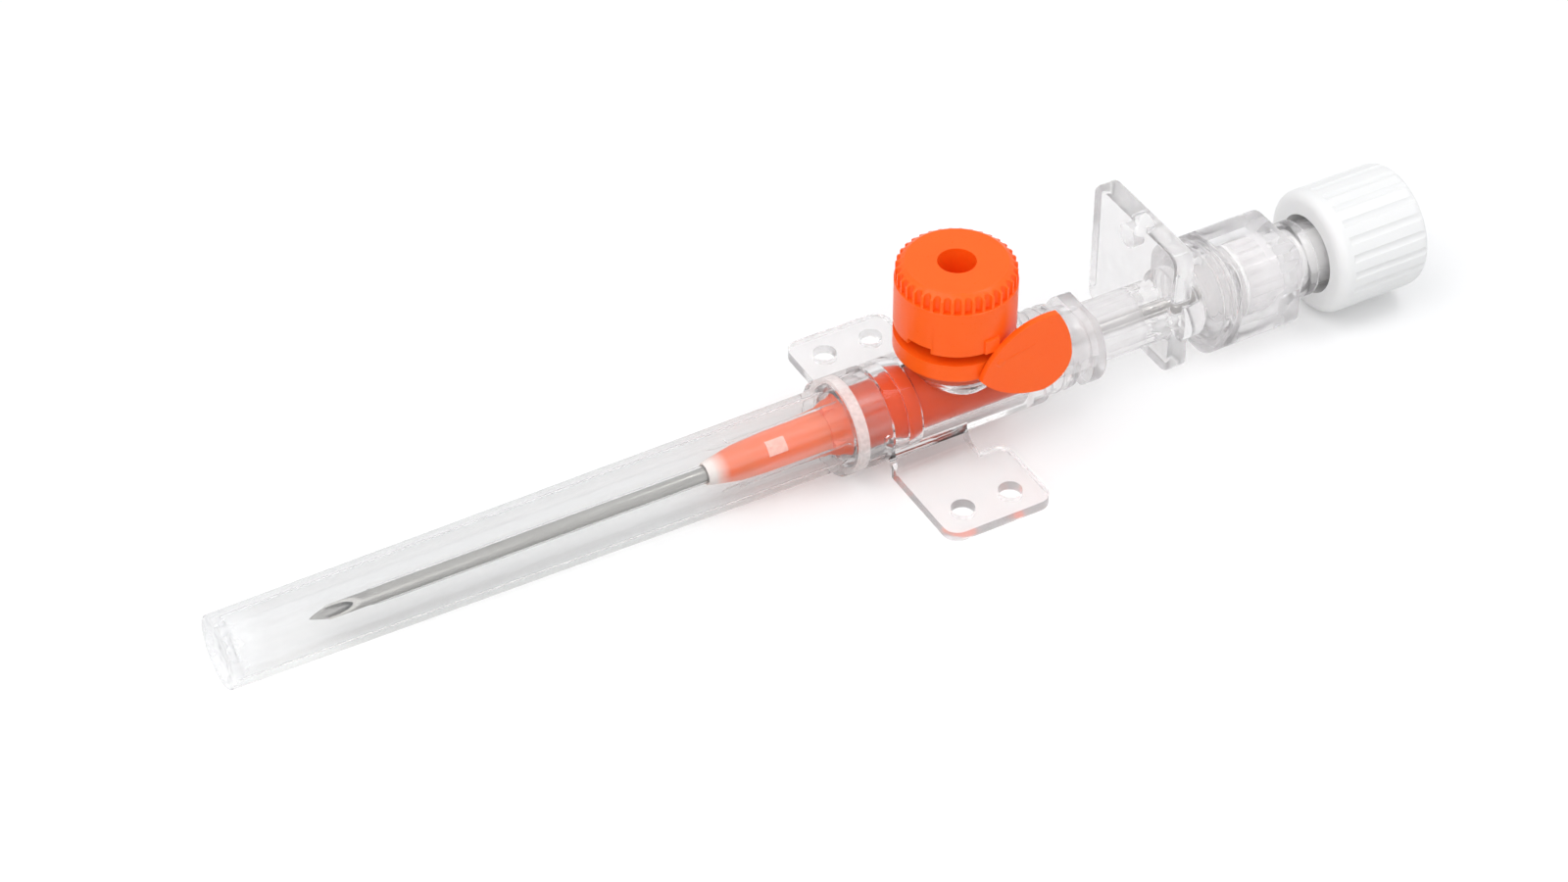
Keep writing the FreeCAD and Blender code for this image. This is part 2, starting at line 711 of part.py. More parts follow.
def make_catheter_hub():
    """Clear hub: front spigot, barrel, port boss, saddle, flat wings with holes, rear luer."""
    body = new_body("catheter_hub")
    lug_x = s["hub_rear_x"] - s["lug_length"]
    turned(body, "hub_barrel", [
        (spigot_x, ZERO),
        (spigot_x, s["spigot_radius"]),
        (s["hub_front_x"], s["spigot_radius"]),
        (s["hub_front_x"], s["hub_radius"]),
        (hub_step_x, s["hub_radius"]),
        (hub_step_x + s["hub_radius"] - s["hub_rear_radius"], s["hub_rear_radius"]),
        (lug_x - s["lug_length"], s["hub_rear_radius"]),
        (lug_x - s["lug_length"] / 2, s["hub_neck_radius"]),
        (lug_x, s["hub_neck_radius"]),
        (lug_x, s["lug_radius"]),
        (s["hub_rear_x"], s["lug_radius"]),
        (s["hub_rear_x"], ZERO),
    ])
    boss = new_sketch(body, "boss_outline", "XZ_Plane")
    closed_outline(boss, [
        (s["port_x"], ZERO),
        (s["port_x"] + s["boss_foot_radius"], ZERO),
        (s["port_x"] + s["boss_foot_radius"], s["boss_foot_z"]),
        (s["port_x"] + s["boss_radius"], s["funnel_top_z"]),
        (s["port_x"] + s["boss_radius"], boss_top_z),
        (s["port_x"], boss_top_z),
    ])
    add_upright(body, boss, "boss")
    wing_low = -s["axis_height"]
    wing_high = wing_low + s["wing_thickness"]
    inner_y = s["wing_root_y"] - s["wing_thickness"]
    roots = new_sketch(body, "wing_root_section", "YZ_Plane", -(s["wing_length"] / 2))
    plates = new_sketch(body, "wing_plate_section", "YZ_Plane")
    bend_end_y = s["wing_plate_y"] + s["wing_thickness"]
    for sign in (-1, 1):
        closed_outline(roots, [
            (inner_y * sign, ZERO),
            (s["wing_root_y"] * sign, ZERO),
            (s["wing_root_y"] * sign, wing_high),
            (bend_end_y * sign, wing_high),
            (bend_end_y * sign, wing_low),
            (inner_y * sign, wing_low),
        ])
        closed_outline(plates, [
            (s["wing_plate_y"] * sign, wing_high),
            (s["wing_span"] / 2 * sign, wing_high),
            (s["wing_span"] / 2 * sign, wing_low),
            (s["wing_plate_y"] * sign, wing_low),
        ])
    root_pad = pad(body, roots, "wing_roots", s["wing_root_length"])
    tops = rounded(body, root_pad, "wing_root_tops", s["wing_root_bend"],
                   lambda edge: is_straight_along(edge, "x")
                   and is_beside(edge, s["wing_root_y"].value, wing_high.value))
    rounded(body, tops, "wing_root_undersides", s["wing_under_round"],
            lambda edge: is_straight_along(edge, "x") and is_beside(edge, inner_y.value, wing_low.value))
    plate_pad = pad(body, plates, "wings", s["wing_length"], midplane=True)
    tip_y = s["wing_span"].value / 2
    corner_x = s["wing_length"].value / 2

    def is_wing_corner(edge):
        middle = edge.CenterOfMass
        at_tip = abs(abs(middle.y) - tip_y) < NEAR
        at_rear_root = abs(abs(middle.y) - s["wing_plate_y"].value) < NEAR and abs(middle.x - corner_x) < NEAR
        return is_straight_along(edge, "z") and (at_tip or at_rear_root)

    rounded(body, plate_pad, "wing_corners", s["wing_corner"], is_wing_corner)
    relief = new_sketch(body, "collar_relief_outline", "YZ_Plane", s["hub_front_x"])
    clear_y = s["collar_radius"] + s["collar_clearance"]
    rectangle(relief, -clear_y, clear_y, wing_low - s["fit_gap"], ZERO)
    pocket(body, relief, "collar_relief", s["wing_length"] / 2 + s["hub_front_x"] + s["fit_gap"])
    holes = new_sketch(body, "wing_hole_outlines", "XY_Plane", -s["axis_height"] * 2)
    for sign_x in (-1, 1):
        for sign_y in (-1, 1):
            held_circle(holes, s["hole_spacing_x"] / 2 * sign_x, s["hole_spacing_y"] / 2 * sign_y,
                        s["hole_radius"])
    pocket(body, holes, "wing_holes", s["axis_height"] * 2, reverse=True)
    core_hole = s["core_radius"] + s["fit_gap"]
    turned(body, "hub_bore", [
        (spigot_x - s["fit_gap"], ZERO),
        (spigot_x - s["fit_gap"], s["spigot_bore_radius"]),
        (core_flange_x - s["fit_gap"], s["spigot_bore_radius"]),
        (core_flange_x - s["fit_gap"], s["core_flange_radius"] + s["fit_gap"]),
        (core_flange_end_x + s["fit_gap"], s["core_flange_radius"] + s["fit_gap"]),
        (core_flange_end_x + s["fit_gap"], core_hole),
        (core_end_x + s["fit_gap"], core_hole),
        (core_end_x + s["fit_gap"], luer_floor_radius),
        (s["hub_rear_x"] + s["fit_gap"], s["luer_mouth_radius"]),
        (s["hub_rear_x"] + s["fit_gap"], ZERO),
    ], groove=True)
    seat = new_sketch(body, "funnel_seat_outline", "XZ_Plane")
    closed_outline(seat, [
        (s["port_x"], ZERO),
        (s["port_x"] + s["funnel_foot_radius"] + s["fit_gap"], ZERO),
        (s["port_x"] + s["funnel_foot_radius"] + s["fit_gap"], s["funnel_foot_z"]),
        (s["port_x"] + s["funnel_top_radius"] + s["fit_gap"], s["funnel_top_z"]),
        (s["port_x"] + s["funnel_top_radius"] + s["fit_gap"], boss_top_z + s["fit_gap"]),
        (s["port_x"], boss_top_z + s["fit_gap"]),
    ])
    add_upright(body, seat, "funnel_seat", groove=True)
    flats = new_sketch(body, "lug_flat_outlines", "YZ_Plane", lug_x)
    for sign in (-1, 1):
        rectangle(flats, -s["lug_radius"], s["lug_radius"], s["lug_flat"] * sign,
                  (s["lug_radius"] + s["fit_gap"]) * sign)
    pocket(body, flats, "lug_flats", s["lug_length"] + s["fit_gap"], reverse=True)
    return body


def make_port_ring():
    """Ring snapped round the foot of the port, with the strap that tethers the cap."""
    body = new_body("port_ring", s["port_x"])
    bore = s["port_tube_radius"] + s["fit_gap"]
    ring = turned(body, "ring_wall", [
        (bore, ring_bottom_z),
        (s["ring_radius"], ring_bottom_z),
        (s["ring_radius"], ring_top_z),
        (bore, ring_top_z),
    ], upright=True)
    rounded(body, ring, "ring_rounding", s["ring_round"],
            lambda edge: is_circle_at(edge, "z", ring_bottom_z.value, s["ring_radius"].value))
    sketch = new_sketch(body, "strap_outline", "YZ_Plane")
    inner = s["cap_radius"] + s["strap_gap"]
    outer = inner + s["strap_thickness"]
    foot_top = ring_bottom_z + s["ring_round"] + s["strap_foot"]
    closed_outline(sketch, [
        (s["ring_radius"] - s["strap_foot"], ring_bottom_z + s["ring_round"]),
        (outer, ring_bottom_z + s["ring_round"]),
        (outer, ring_top_z + s["strap_height"]),
        (inner, ring_top_z + s["strap_height"]),
        (inner, foot_top),
        (s["ring_radius"] - s["strap_foot"], foot_top),
    ])
    strap = body.newObject("PartDesign::Revolution", "strap")
    strap.Profile = sketch
    strap.ReferenceAxis = (sketch, ["V_Axis"])
    bind(strap, "Angle", s["strap_angle"])
    strap.Midplane = True
    return body


def make_port_cap():
    """Opaque port cap: knurled grip band, smooth skirt, hollow plug, notched foot, thumb tab."""
    body = new_body("port_cap", s["port_x"])
    knurl_low_z = cap_top_z - s["knurl_height"]
    plug_radius = s["cap_hole_radius"] + s["plug_wall"]
    cavity_radius = s["cap_radius"] - s["cap_wall"]
    turned(body, "cap_shell", [
        (s["cap_hole_radius"], cap_top_z),
        (s["cap_face_radius"], cap_top_z),
        (s["knurl_radius"], cap_top_z - s["cap_bevel_height"]),
        (s["knurl_radius"], knurl_low_z),
        (s["cap_radius"], knurl_low_z - s["fit_gap"]),
        (s["cap_radius"], cap_bottom_z),
        (cavity_radius, cap_bottom_z),
        (cavity_radius, cap_roof_z),
        (plug_radius, cap_roof_z),
        (plug_radius, plug_bottom_z),
        (ZERO, plug_bottom_z),
        (ZERO, plug_bottom_z + s["cap_hole_floor"]),
        (s["cap_hole_radius"], plug_bottom_z + s["cap_hole_floor"]),
    ], upright=True)
    groove = new_sketch(body, "knurl_groove_outline", "XY_Plane", cap_top_z)
    held_circle(groove, s["knurl_radius"] + s["knurl_groove_radius"] - s["knurl_depth"], ZERO,
                s["knurl_groove_radius"])
    cut = pocket(body, groove, "knurl_groove", s["knurl_height"])
    ring_of(body, cut, "knurl", "Z_Axis", s["knurl_count"])
    notch = new_sketch(body, "notch_outline", "XZ_Plane")
    rectangle(notch, cavity_radius - s["fit_gap"], s["cap_radius"] + s["fit_gap"],
              cap_bottom_z - s["fit_gap"], cap_bottom_z + s["notch_height"])
    turned_by(notch, Vector(0, 1, 0), s["notch_start"] + s["notch_angle"] / 2)
    slot = body.newObject("PartDesign::Groove", "notch")
    slot.Profile = notch
    slot.ReferenceAxis = (notch, ["V_Axis"])
    bind(slot, "Angle", s["notch_angle"])
    slot.Midplane = True
    make_tab(body)
    return body


def make_tab(body):
    """Leaf-shaped thumb tab on the near side, on a short web from the skirt."""
    tab_y = s["cap_radius"] + s["tab_gap"]
    tab_root_z = cap_bottom_z - s["tab_root_drop"]
    tab = new_sketch(body, "tab_outline", "XZ_Plane", tab_y)
    arc_outline(tab, [
        (s["tab_root_x"], tab_root_z, s["tab_upper_radius"]),
        (s["tab_corner"], cap_bottom_z + s["tab_rise"], s["tab_side_radius"]),
        (s["tab_reach"], tab_root_z, s["tab_heel_radius"]),
        (s["tab_sole"], cap_bottom_z - s["tab_drop"], s["tab_lower_radius"]),
    ])
    pad(body, tab, "tab", s["tab_thickness"])
    web = new_sketch(body, "web_outline", "XZ_Plane", s["cap_radius"] - s["cap_wall"] / 2)
    rectangle(web, s["web_x"], s["web_x"] + s["web_width"], cap_bottom_z, cap_bottom_z + s["web_height"])
    pad(body, web, "web", s["cap_wall"] / 2 + s["tab_gap"] + s["fit_gap"])


def make_needle_hub():
    """Needle hub: luer nose, fluted barrel, square grip plate and the socket behind it."""
    body = new_body("needle_hub")
    nose_mouth = s["luer_mouth_radius"] - s["sleeve_gap"]
    turned(body, "hub_core", [
        (hub_nose_x, ZERO),
        (hub_nose_x, nose_mouth - nose_depth * s["luer_slope"]),
        (barrel_x, nose_mouth),
        (barrel_x, s["barrel_radius"]),
        (plate_x + s["plate_thickness"] / 2, s["barrel_radius"]),
        (plate_x + s["plate_thickness"] / 2, s["socket_neck_radius"]),
        (block_x + s["socket_front_round"], s["socket_neck_radius"]),
        (block_x + s["socket_front_round"], ZERO),
    ])
    flute = new_sketch(body, "flute_outline", "YZ_Plane", barrel_x - s["fit_gap"])
    held_circle(flute, ZERO, s["barrel_radius"] + s["flute_radius"] - s["flute_depth"], s["flute_radius"])
    cut = pocket(body, flute, "flute", plate_x - barrel_x, reverse=True)
    ring_of(body, cut, "flutes", "X_Axis", s["flute_count"])
    plate = new_sketch(body, "plate_outline", "YZ_Plane", plate_x)
    rectangle(plate, s["plate_near_y"], s["plate_near_y"] + s["plate_size"],
              s["plate_bottom_z"], s["plate_bottom_z"] + s["plate_size"])
    slab = pad(body, plate, "grip_plate", s["plate_thickness"])
    low_y, low_z = s["plate_near_y"].value, s["plate_bottom_z"].value
    size = s["plate_size"].value

    def is_plate_corner(edge):
        middle = edge.CenterOfMass
        at_side = min(abs(middle.y - low_y), abs(middle.y - low_y - size)) < NEAR
        at_end = min(abs(middle.z - low_z), abs(middle.z - low_z - size)) < NEAR
        return is_straight_along(edge, "x") and at_side and at_end

    corners = rounded(body, slab, "plate_corners", s["plate_corner"], is_plate_corner)
    rounded(body, corners, "plate_rims", s["plate_edge_round"],
            lambda edge: is_rim_at(edge, (plate_x.value, plate_rear_x.value), s["plate_corner"].value))
    socket = new_sketch(body, "socket_outline", "YZ_Plane", block_x)
    rectangle(socket, -s["chamber_half"], s["chamber_half"], -s["chamber_half"], s["chamber_half"])
    block = pad(body, socket, "socket_block", s["socket_length"] - s["socket_neck_length"])
    square = round_square(body, block, "socket_corners")
    rounded(body, square, "socket_front", s["socket_front_round"],
            lambda edge: is_rim_at(edge, (block_x.value,), s["chamber_corner"].value))
    lip = new_sketch(body, "lip_outline", "YZ_Plane", seam_x - s["socket_lip"])
    held_circle(lip, ZERO, ZERO, s["chamber_bore_radius"] - s["fit_gap"])
    pad(body, lip, "lip", s["socket_lip"] * 2)
    turned(body, "hub_needle_bore", [
        (hub_nose_x - s["fit_gap"], ZERO),
        (hub_nose_x - s["fit_gap"], s["needle_radius"] + s["sleeve_gap"]),
        (plate_rear_x + s["socket_floor"], s["needle_radius"] + s["sleeve_gap"]),
        (plate_rear_x + s["socket_floor"], s["socket_bore_radius"]),
        (lip_end_x + s["fit_gap"], s["socket_bore_radius"]),
        (lip_end_x + s["fit_gap"], ZERO),
    ], groove=True)
    hole = new_sketch(body, "plate_hole_outline", "YZ_Plane", plate_x - s["fit_gap"])
    far_y = s["plate_near_y"] + s["plate_size"]
    top_z = s["plate_bottom_z"] + s["plate_size"]
    held_circle(hole, far_y - s["plate_hole_inset_y"], top_z - s["plate_hole_inset_z"],
                s["plate_hole_radius"])
    pocket(body, hole, "plate_hole", s["plate_thickness"] + s["fit_gap"] * 2, reverse=True)
    return body


def is_rim_at(edge, places, corner):
    """True for a straight side or a rounded corner of a square outline at a place along X."""
    if min(abs(edge.CenterOfMass.x - place) for place in places) > NEAR:
        return False
    if edge.Curve.TypeId == "Part::GeomLine":
        return True
    return edge.Curve.TypeId == "Part::GeomCircle" and abs(edge.Curve.Radius - corner) < NEAR


def round_square(body, block, name):
    """Round the four long corners of a square block that lies along the centre line."""
    half = s["chamber_half"].value

    def is_corner(edge):
        middle = edge.CenterOfMass
        return (is_straight_along(edge, "x") and abs(abs(middle.y) - half) < NEAR
                and abs(abs(middle.z) - half) < NEAR)

    return rounded(body, block, name, s["chamber_corner"], is_corner)


def make_flashback_chamber():
    """Clear rounded-square chamber with a bore for the vent and a luer neck behind."""
    body = new_body("flashback_chamber")
    section = new_sketch(body, "chamber_outline", "YZ_Plane", chamber_x)
    rectangle(section, -s["chamber_half"], s["chamber_half"], -s["chamber_half"], s["chamber_half"])
    block = pad(body, section, "chamber_block", s["chamber_length"])
    round_square(body, block, "chamber_corners")
    lug_x = neck_end_x - s["lug_length"]
    turned(body, "chamber_neck", [
        (chamber_end_x - s["chamber_floor"] / 2, ZERO),
        (chamber_end_x - s["chamber_floor"] / 2, s["neck_radius"]),
        (neck_ring_x, s["neck_radius"]),
        (neck_ring_x, s["neck_ring_radius"]),
        (neck_ring_x + s["neck_ring_length"], s["neck_ring_radius"]),
        (neck_ring_x + s["neck_ring_length"], s["neck_radius"]),
        (lug_x, s["neck_radius"]),
        (lug_x, s["neck_lug_radius"]),
        (neck_end_x, s["neck_lug_radius"]),
        (neck_end_x, ZERO),
    ])
    flats = new_sketch(body, "neck_flat_outlines", "YZ_Plane", lug_x)
    for sign in (-1, 1):
        rectangle(flats, -s["neck_lug_radius"], s["neck_lug_radius"], s["neck_lug_flat"] * sign,
                  (s["neck_lug_radius"] + s["fit_gap"]) * sign)
    pocket(body, flats, "neck_flats", s["lug_length"] + s["fit_gap"], reverse=True)
    floor_radius = s["luer_mouth_radius"] - (neck_end_x - chamber_bore_end_x) * s["luer_slope"]
    turned(body, "chamber_bore", [
        (chamber_x - s["fit_gap"], ZERO),
        (chamber_x - s["fit_gap"], s["chamber_bore_radius"]),
        (chamber_bore_end_x, s["chamber_bore_radius"]),
        (chamber_bore_end_x, floor_radius),
        (neck_end_x + s["fit_gap"], s["luer_mouth_radius"]),
        (neck_end_x + s["fit_gap"], ZERO),
    ], groove=True)
    return body


def make_vent_plug():
    """Ribbed plug pressed into the chamber, open in the middle."""
    body = new_body("vent_plug")
    outer = s["chamber_bore_radius"] - s["fit_gap"]
    turned(body, "plug_wall_ring", [
        (plug_x, s["plug_bore_radius"]),
        (plug_x, outer),
        (plug_x + s["plug_length"], outer),
        (plug_x + s["plug_length"], s["plug_bore_radius"]),
    ])
    groove = new_sketch(body, "plug_groove_outline", "YZ_Plane", plug_x + s["membrane_thickness"])
    half = s["plug_rib_depth"] / 2
    rectangle(groove, -half, half, outer - s["plug_rib_depth"], outer + s["fit_gap"])
    cut = pocket(body, groove, "plug_groove", s["plug_length"], reverse=True)
    ring_of(body, cut, "plug_grooves", "X_Axis", s["plug_rib_count"])
    return body


def make_vent_membrane():
    """Thin disc that lets air out and keeps blood in, held between lip and plug."""
    body = new_body("vent_membrane")
    turned(body, "membrane_disc", [
        (membrane_x, ZERO),
        (membrane_x, s["chamber_bore_radius"] - s["fit_gap"]),
        (membrane_x + s["membrane_thickness"], s["chamber_bore_radius"] - s["fit_gap"]),
        (membrane_x + s["membrane_thickness"], ZERO),
    ])
    return body


def make_luer_cap():
    """White closing cap: ribbed grip, open front, and the luer plug inside."""
    body = new_body("luer_cap")
    cavity = s["luer_cap_radius"] - s["luer_cap_wall"]
    plug_tip_x = luer_cap_x - s["luer_plug_reach"]
    plug_mouth = s["luer_mouth_radius"] - s["sleeve_gap"]
    plug_tip = plug_mouth - (neck_end_x - plug_tip_x) * s["luer_slope"]
    shell = turned(body, "luer_cap_shell", [
        (luer_cap_end_x, ZERO),
        (luer_cap_end_x, s["luer_cap_radius"]),
        (luer_cap_x, s["luer_cap_radius"]),
        (luer_cap_x, cavity),
        (luer_cap_floor_x, cavity),
        (luer_cap_floor_x, plug_mouth),
        (neck_end_x, plug_mouth),
        (plug_tip_x, plug_tip),
        (plug_tip_x, ZERO),
    ])
    end, radius = luer_cap_end_x.value, s["luer_cap_radius"].value
    rear = rounded(body, shell, "luer_cap_rounding", s["luer_cap_round"],
                   lambda edge: is_circle_at(edge, "x", end, radius))
    front = luer_cap_x.value
    rounded(body, rear, "luer_cap_front", s["luer_cap_front_round"],
            lambda edge: is_circle_at(edge, "x", front, radius))
    groove = new_sketch(body, "grip_groove_outline", "YZ_Plane", luer_cap_x + s["grip_start"])
    held_circle(groove, ZERO, s["luer_cap_radius"] + s["grip_groove_radius"] - s["grip_groove_depth"],
                s["grip_groove_radius"])
    cut = pocket(body, groove, "grip_groove", s["luer_cap_length"], reverse=True)
    ring_of(body, cut, "grip_grooves", "X_Axis", s["grip_groove_count"])
    return body


MAKERS = (
    make_needle_cover,
    make_catheter_tube,
    make_catheter_ferrule,
    make_needle,
    make_hub_nose,
    make_port_valve,
    make_catheter_hub,
    make_port_ring,
    make_port_cap,
    make_needle_hub,
    make_flashback_chamber,
    make_vent_plug,
    make_vent_membrane,
    make_luer_cap,
)


def check_everything(bodies):
    """Stop if any object failed or any piece is not one valid solid."""
    for item in doc.Objects:
        if "Invalid" in item.State or "Error" in item.State:
            raise RuntimeError(item.Name + " failed")
    for body in bodies:
        shape = body.Shape
        if shape.isNull() or not shape.isValid():
            raise RuntimeError(body.Label + " is not a valid shape")
        if len(shape.Solids) != 1:
            raise RuntimeError(body.Label + " is not one solid")


def write_parts(bodies):
    """Write one file for each piece."""
    os.makedirs("parts", exist_ok=True)
    for body in bodies:
        body.Shape.exportStep("parts/" + body.Label + ".step")
        box = body.Shape.BoundBox
        print(body.Label, "volume", round(body.Shape.Volume, 2), "x", round(box.XMin, 2), round(box.XMax, 2),
              "y", round(box.YMin, 2), round(box.YMax, 2), "z", round(box.ZMin, 2), round(box.ZMax, 2))


bodies = [make() for make in MAKERS]
doc.recompute()
check_everything(bodies)
write_parts(bodies)
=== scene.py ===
"""Looks of a winged intravenous cannula with an injection port.

The frame holds the mouldings at their real size. This script softens their edges, adds the fine
detail of the real mouldings, gives each its plastic, steel or silicone finish, and lights them on
a pale table. Shapes are worked out in millimetres and scaled to metres when a piece is finished.
"""

import logging
import math
from dataclasses import dataclass, field
from enum import Enum
from typing import Any, Optional

import bmesh
import bpy
from mathutils import Matrix, Vector


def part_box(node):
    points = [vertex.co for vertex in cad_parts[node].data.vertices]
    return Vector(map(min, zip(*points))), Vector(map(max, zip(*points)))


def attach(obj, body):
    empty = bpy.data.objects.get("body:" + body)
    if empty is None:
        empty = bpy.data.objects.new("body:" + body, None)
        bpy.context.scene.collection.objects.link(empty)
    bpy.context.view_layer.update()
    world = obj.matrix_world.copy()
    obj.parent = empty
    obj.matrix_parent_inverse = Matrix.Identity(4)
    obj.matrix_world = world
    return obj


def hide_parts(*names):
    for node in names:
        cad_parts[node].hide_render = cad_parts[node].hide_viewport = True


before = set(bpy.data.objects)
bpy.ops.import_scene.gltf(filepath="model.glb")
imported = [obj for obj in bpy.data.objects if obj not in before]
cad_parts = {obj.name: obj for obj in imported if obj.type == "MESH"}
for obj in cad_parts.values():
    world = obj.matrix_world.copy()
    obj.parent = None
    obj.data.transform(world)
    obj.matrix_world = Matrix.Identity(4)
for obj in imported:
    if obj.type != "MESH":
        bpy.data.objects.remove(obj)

log = logging.getLogger("cannula")
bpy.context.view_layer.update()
MM = 0.001
NEAR = 0.001
JOINT_NEAR = 0.0005
SMOOTH_DEG = 32.0
FLAT_DEG = 0.5
TURN_AXIS = (1, 0, 0)


Colour = tuple[float, float, float]


class Rider(Enum):
    """The moving bodies that pieces ride on."""

    HUB = "hub"
    COVER = "cover"
    STYLET = "stylet"
    END_CAP = "end_cap"
    PORT_LID = "port_lid"


class Stock(Enum):
    """The material slots of the record."""

    COVER = "cover_plastic"
    CATHETER = "catheter_plastic"
    FERRULE = "ferrule_metal"
    STEEL = "needle_steel"
    CORE = "core_plastic"
    VALVE = "valve_silicone"
    CLEAR = "clear_plastic"
    CAP = "cap_plastic"
    VENT = "vent_plastic"
    MEMBRANE = "membrane"
    WHITE = "white_plastic"


class Shading:
    """Adds and joins the nodes of one material."""

    def __init__(self, name: str) -> None:
        """Start an empty material.

        Args:
            name: The finish's plain name.
        """
        self.material = bpy.data.materials.new(name)
        self.material.use_nodes = True
        self.tree = self.material.node_tree
        self.tree.nodes.clear()
        self.output = self.tree.nodes.new("ShaderNodeOutputMaterial")
        self.coords = self.tree.nodes.new("ShaderNodeTexCoord")

    def add(self, kind: str, values: Optional[dict[str, Any]] = None, **settings: Any) -> Any:
        """Add a node.

        Args:
            kind: The node's type name.
            values: Socket values or links by socket name or number.
            **settings: Plain properties of the node.

        Returns:
            The new node.
        """
        made = self.tree.nodes.new(kind)
        for key, value in settings.items():
            setattr(made, key, value)
        for name, value in (values or {}).items():
            if isinstance(value, bpy.types.NodeSocket):
                self.tree.links.new(value, made.inputs[name])
            else:
                made.inputs[name].default_value = value
        return made

    def noise(self, across: tuple[float, float, float], detail: float = 3.0, rough: float = 0.5) -> Any:
        """A noise pattern in the piece's own place.

        Args:
            across: Features for each millimetre along X, Y and Z.
            detail: Octaves.
            rough: How strong the finer octaves are.

        Returns:
            The factor socket.
        """
        stretch = tuple(value / MM for value in across)
        mapped = self.add("ShaderNodeMapping", {"Vector": self.coords.outputs["Object"], "Scale": stretch})
        made = self.add(
            "ShaderNodeTexNoise",
            {"Vector": mapped.outputs[0], "Scale": 1.0, "Detail": detail, "Roughness": rough},
        )
        return made.outputs["Fac"]

    def spread(self, source: Any, low: float, high: float, start: float = 0.3, end: float = 0.7) -> Any:
        """Map a pattern onto a range of values.

        Args:
            source: The pattern's socket.
            low: Value where the pattern is at its start.
            high: Value where the pattern is at its end.
            start: Lower end of the pattern that counts.
            end: Upper end of the pattern that counts.

        Returns:
            The mapped socket.
        """
        made = self.add(
            "ShaderNodeMapRange",
            {"Value": source, "From Min": start, "From Max": end, "To Min": low, "To Max": high},
        )
        return made.outputs[0]

    def along(self, start_mm: float, end_mm: float, low: float, high: float, axis: str = "X") -> Any:
        """A value that changes from one place on the piece to another.

        Args:
            start_mm: Place where it starts to change.
            end_mm: Place where it stops.
            low: Value at the start.
            high: Value at the end.
            axis: X, Y or Z.

        Returns:
            The value's socket.
        """
        split = self.add("ShaderNodeSeparateXYZ", {0: self.coords.outputs["Object"]})
        return self.spread(split.outputs[axis], low, high, start_mm * MM, end_mm * MM)

    def beside(self, start_mm: float, end_mm: float, low: float, high: float) -> Any:
        """A value that changes with the distance from the object's middle plane.

        Args:
            start_mm: Distance where it starts to change.
            end_mm: Distance where it stops.
            low: Value at the start.
            high: Value at the end.

        Returns:
            The value's socket.
        """
        split = self.add("ShaderNodeSeparateXYZ", {0: self.coords.outputs["Object"]})
        away = self.add("ShaderNodeMath", {0: split.outputs["Y"]}, operation="ABSOLUTE")
        return self.spread(away.outputs[0], low, high, start_mm * MM, end_mm * MM)

    def sum_of(self, first: Any, second: Any) -> Any:
        """Add two values, kept between nothing and one, and hand back the socket."""
        made = self.add("ShaderNodeMath", {0: first, 1: second}, operation="ADD", use_clamp=True)
        return made.outputs[0]

    def tint(self, source: Any, first: Colour, second: Colour) -> Any:
        """Blend two colours by a pattern and hand back the colour socket."""
        made = self.add("ShaderNodeMix", data_type="RGBA")
        self.tree.links.new(source, made.inputs[0])
        made.inputs[6].default_value = (*first, 1.0)
        made.inputs[7].default_value = (*second, 1.0)
        return made.outputs[2]

    def blend(self, share: Any, first: Any, second: Colour) -> Any:
        """Blend a colour socket into a plain colour and hand back the colour socket."""
        made = self.add("ShaderNodeMix", data_type="RGBA")
        self.tree.links.new(share, made.inputs[0])
        self.tree.links.new(first, made.inputs[6])
        made.inputs[7].default_value = (*second, 1.0)
        return made.outputs[2]

    def bump(self, height: Any, strength: float, depth_mm: float) -> Any:
        """Turn a height pattern into a normal.

        Args:
            height: The pattern's socket.
            strength: Share of the depth that shows.
            depth_mm: Depth of the relief.

        Returns:
            The normal socket.
        """
        made = self.add("ShaderNodeBump", {"Height": height, "Strength": strength, "Distance": depth_mm * MM})
        return made.outputs[0]

    def times(self, value: Any, factor: float) -> Any:
        """Multiply a value by a number and hand back the socket."""
        made = self.add("ShaderNodeMath", {0: value, 1: factor}, operation="MULTIPLY")
        return made.outputs[0]

    def milk(self, colour: Colour, through: float) -> Any:
        """Matt plastic that light also passes.

        Args:
            colour: Its colour from both sides.
            through: Share of the light that passes.

        Returns:
            The shader socket.
        """
        front = self.add("ShaderNodeBsdfDiffuse", {"Color": (*colour, 1.0)})
        back = self.add("ShaderNodeBsdfTranslucent", {"Color": (*colour, 1.0)})
        return self.mix(through, front.outputs[0], back.outputs[0])

    def mix(self, share: Any, first: Any, second: Any) -> Any:
        """Mix two shaders by a number or socket and hand back the shader socket."""
        made = self.add("ShaderNodeMixShader", {0: share})
        self.tree.links.new(first, made.inputs[1])
        self.tree.links.new(second, made.inputs[2])
        return made.outputs[0]

    def lets_lamps_through(self, shader: Any, colour: Colour) -> Any:
        """Let lamp light pass the surface straight, tinted, so that what lies inside is lit.

        Args:
            shader: The surface as it is seen.
            colour: What the surface leaves of the light.

        Returns:
            The mixed shader socket.
        """
        path = self.add("ShaderNodeLightPath")
        clear = self.add("ShaderNodeBsdfTransparent", {"Color": (*colour, 1.0)})
        return self.mix(path.outputs["Is Shadow Ray"], shader, clear.outputs[0])

    def done(self, shader: Any) -> bpy.types.Material:
        """Join the shader to the output and hand back the material."""
        self.tree.links.new(shader, self.output.inputs["Surface"])
        return self.material



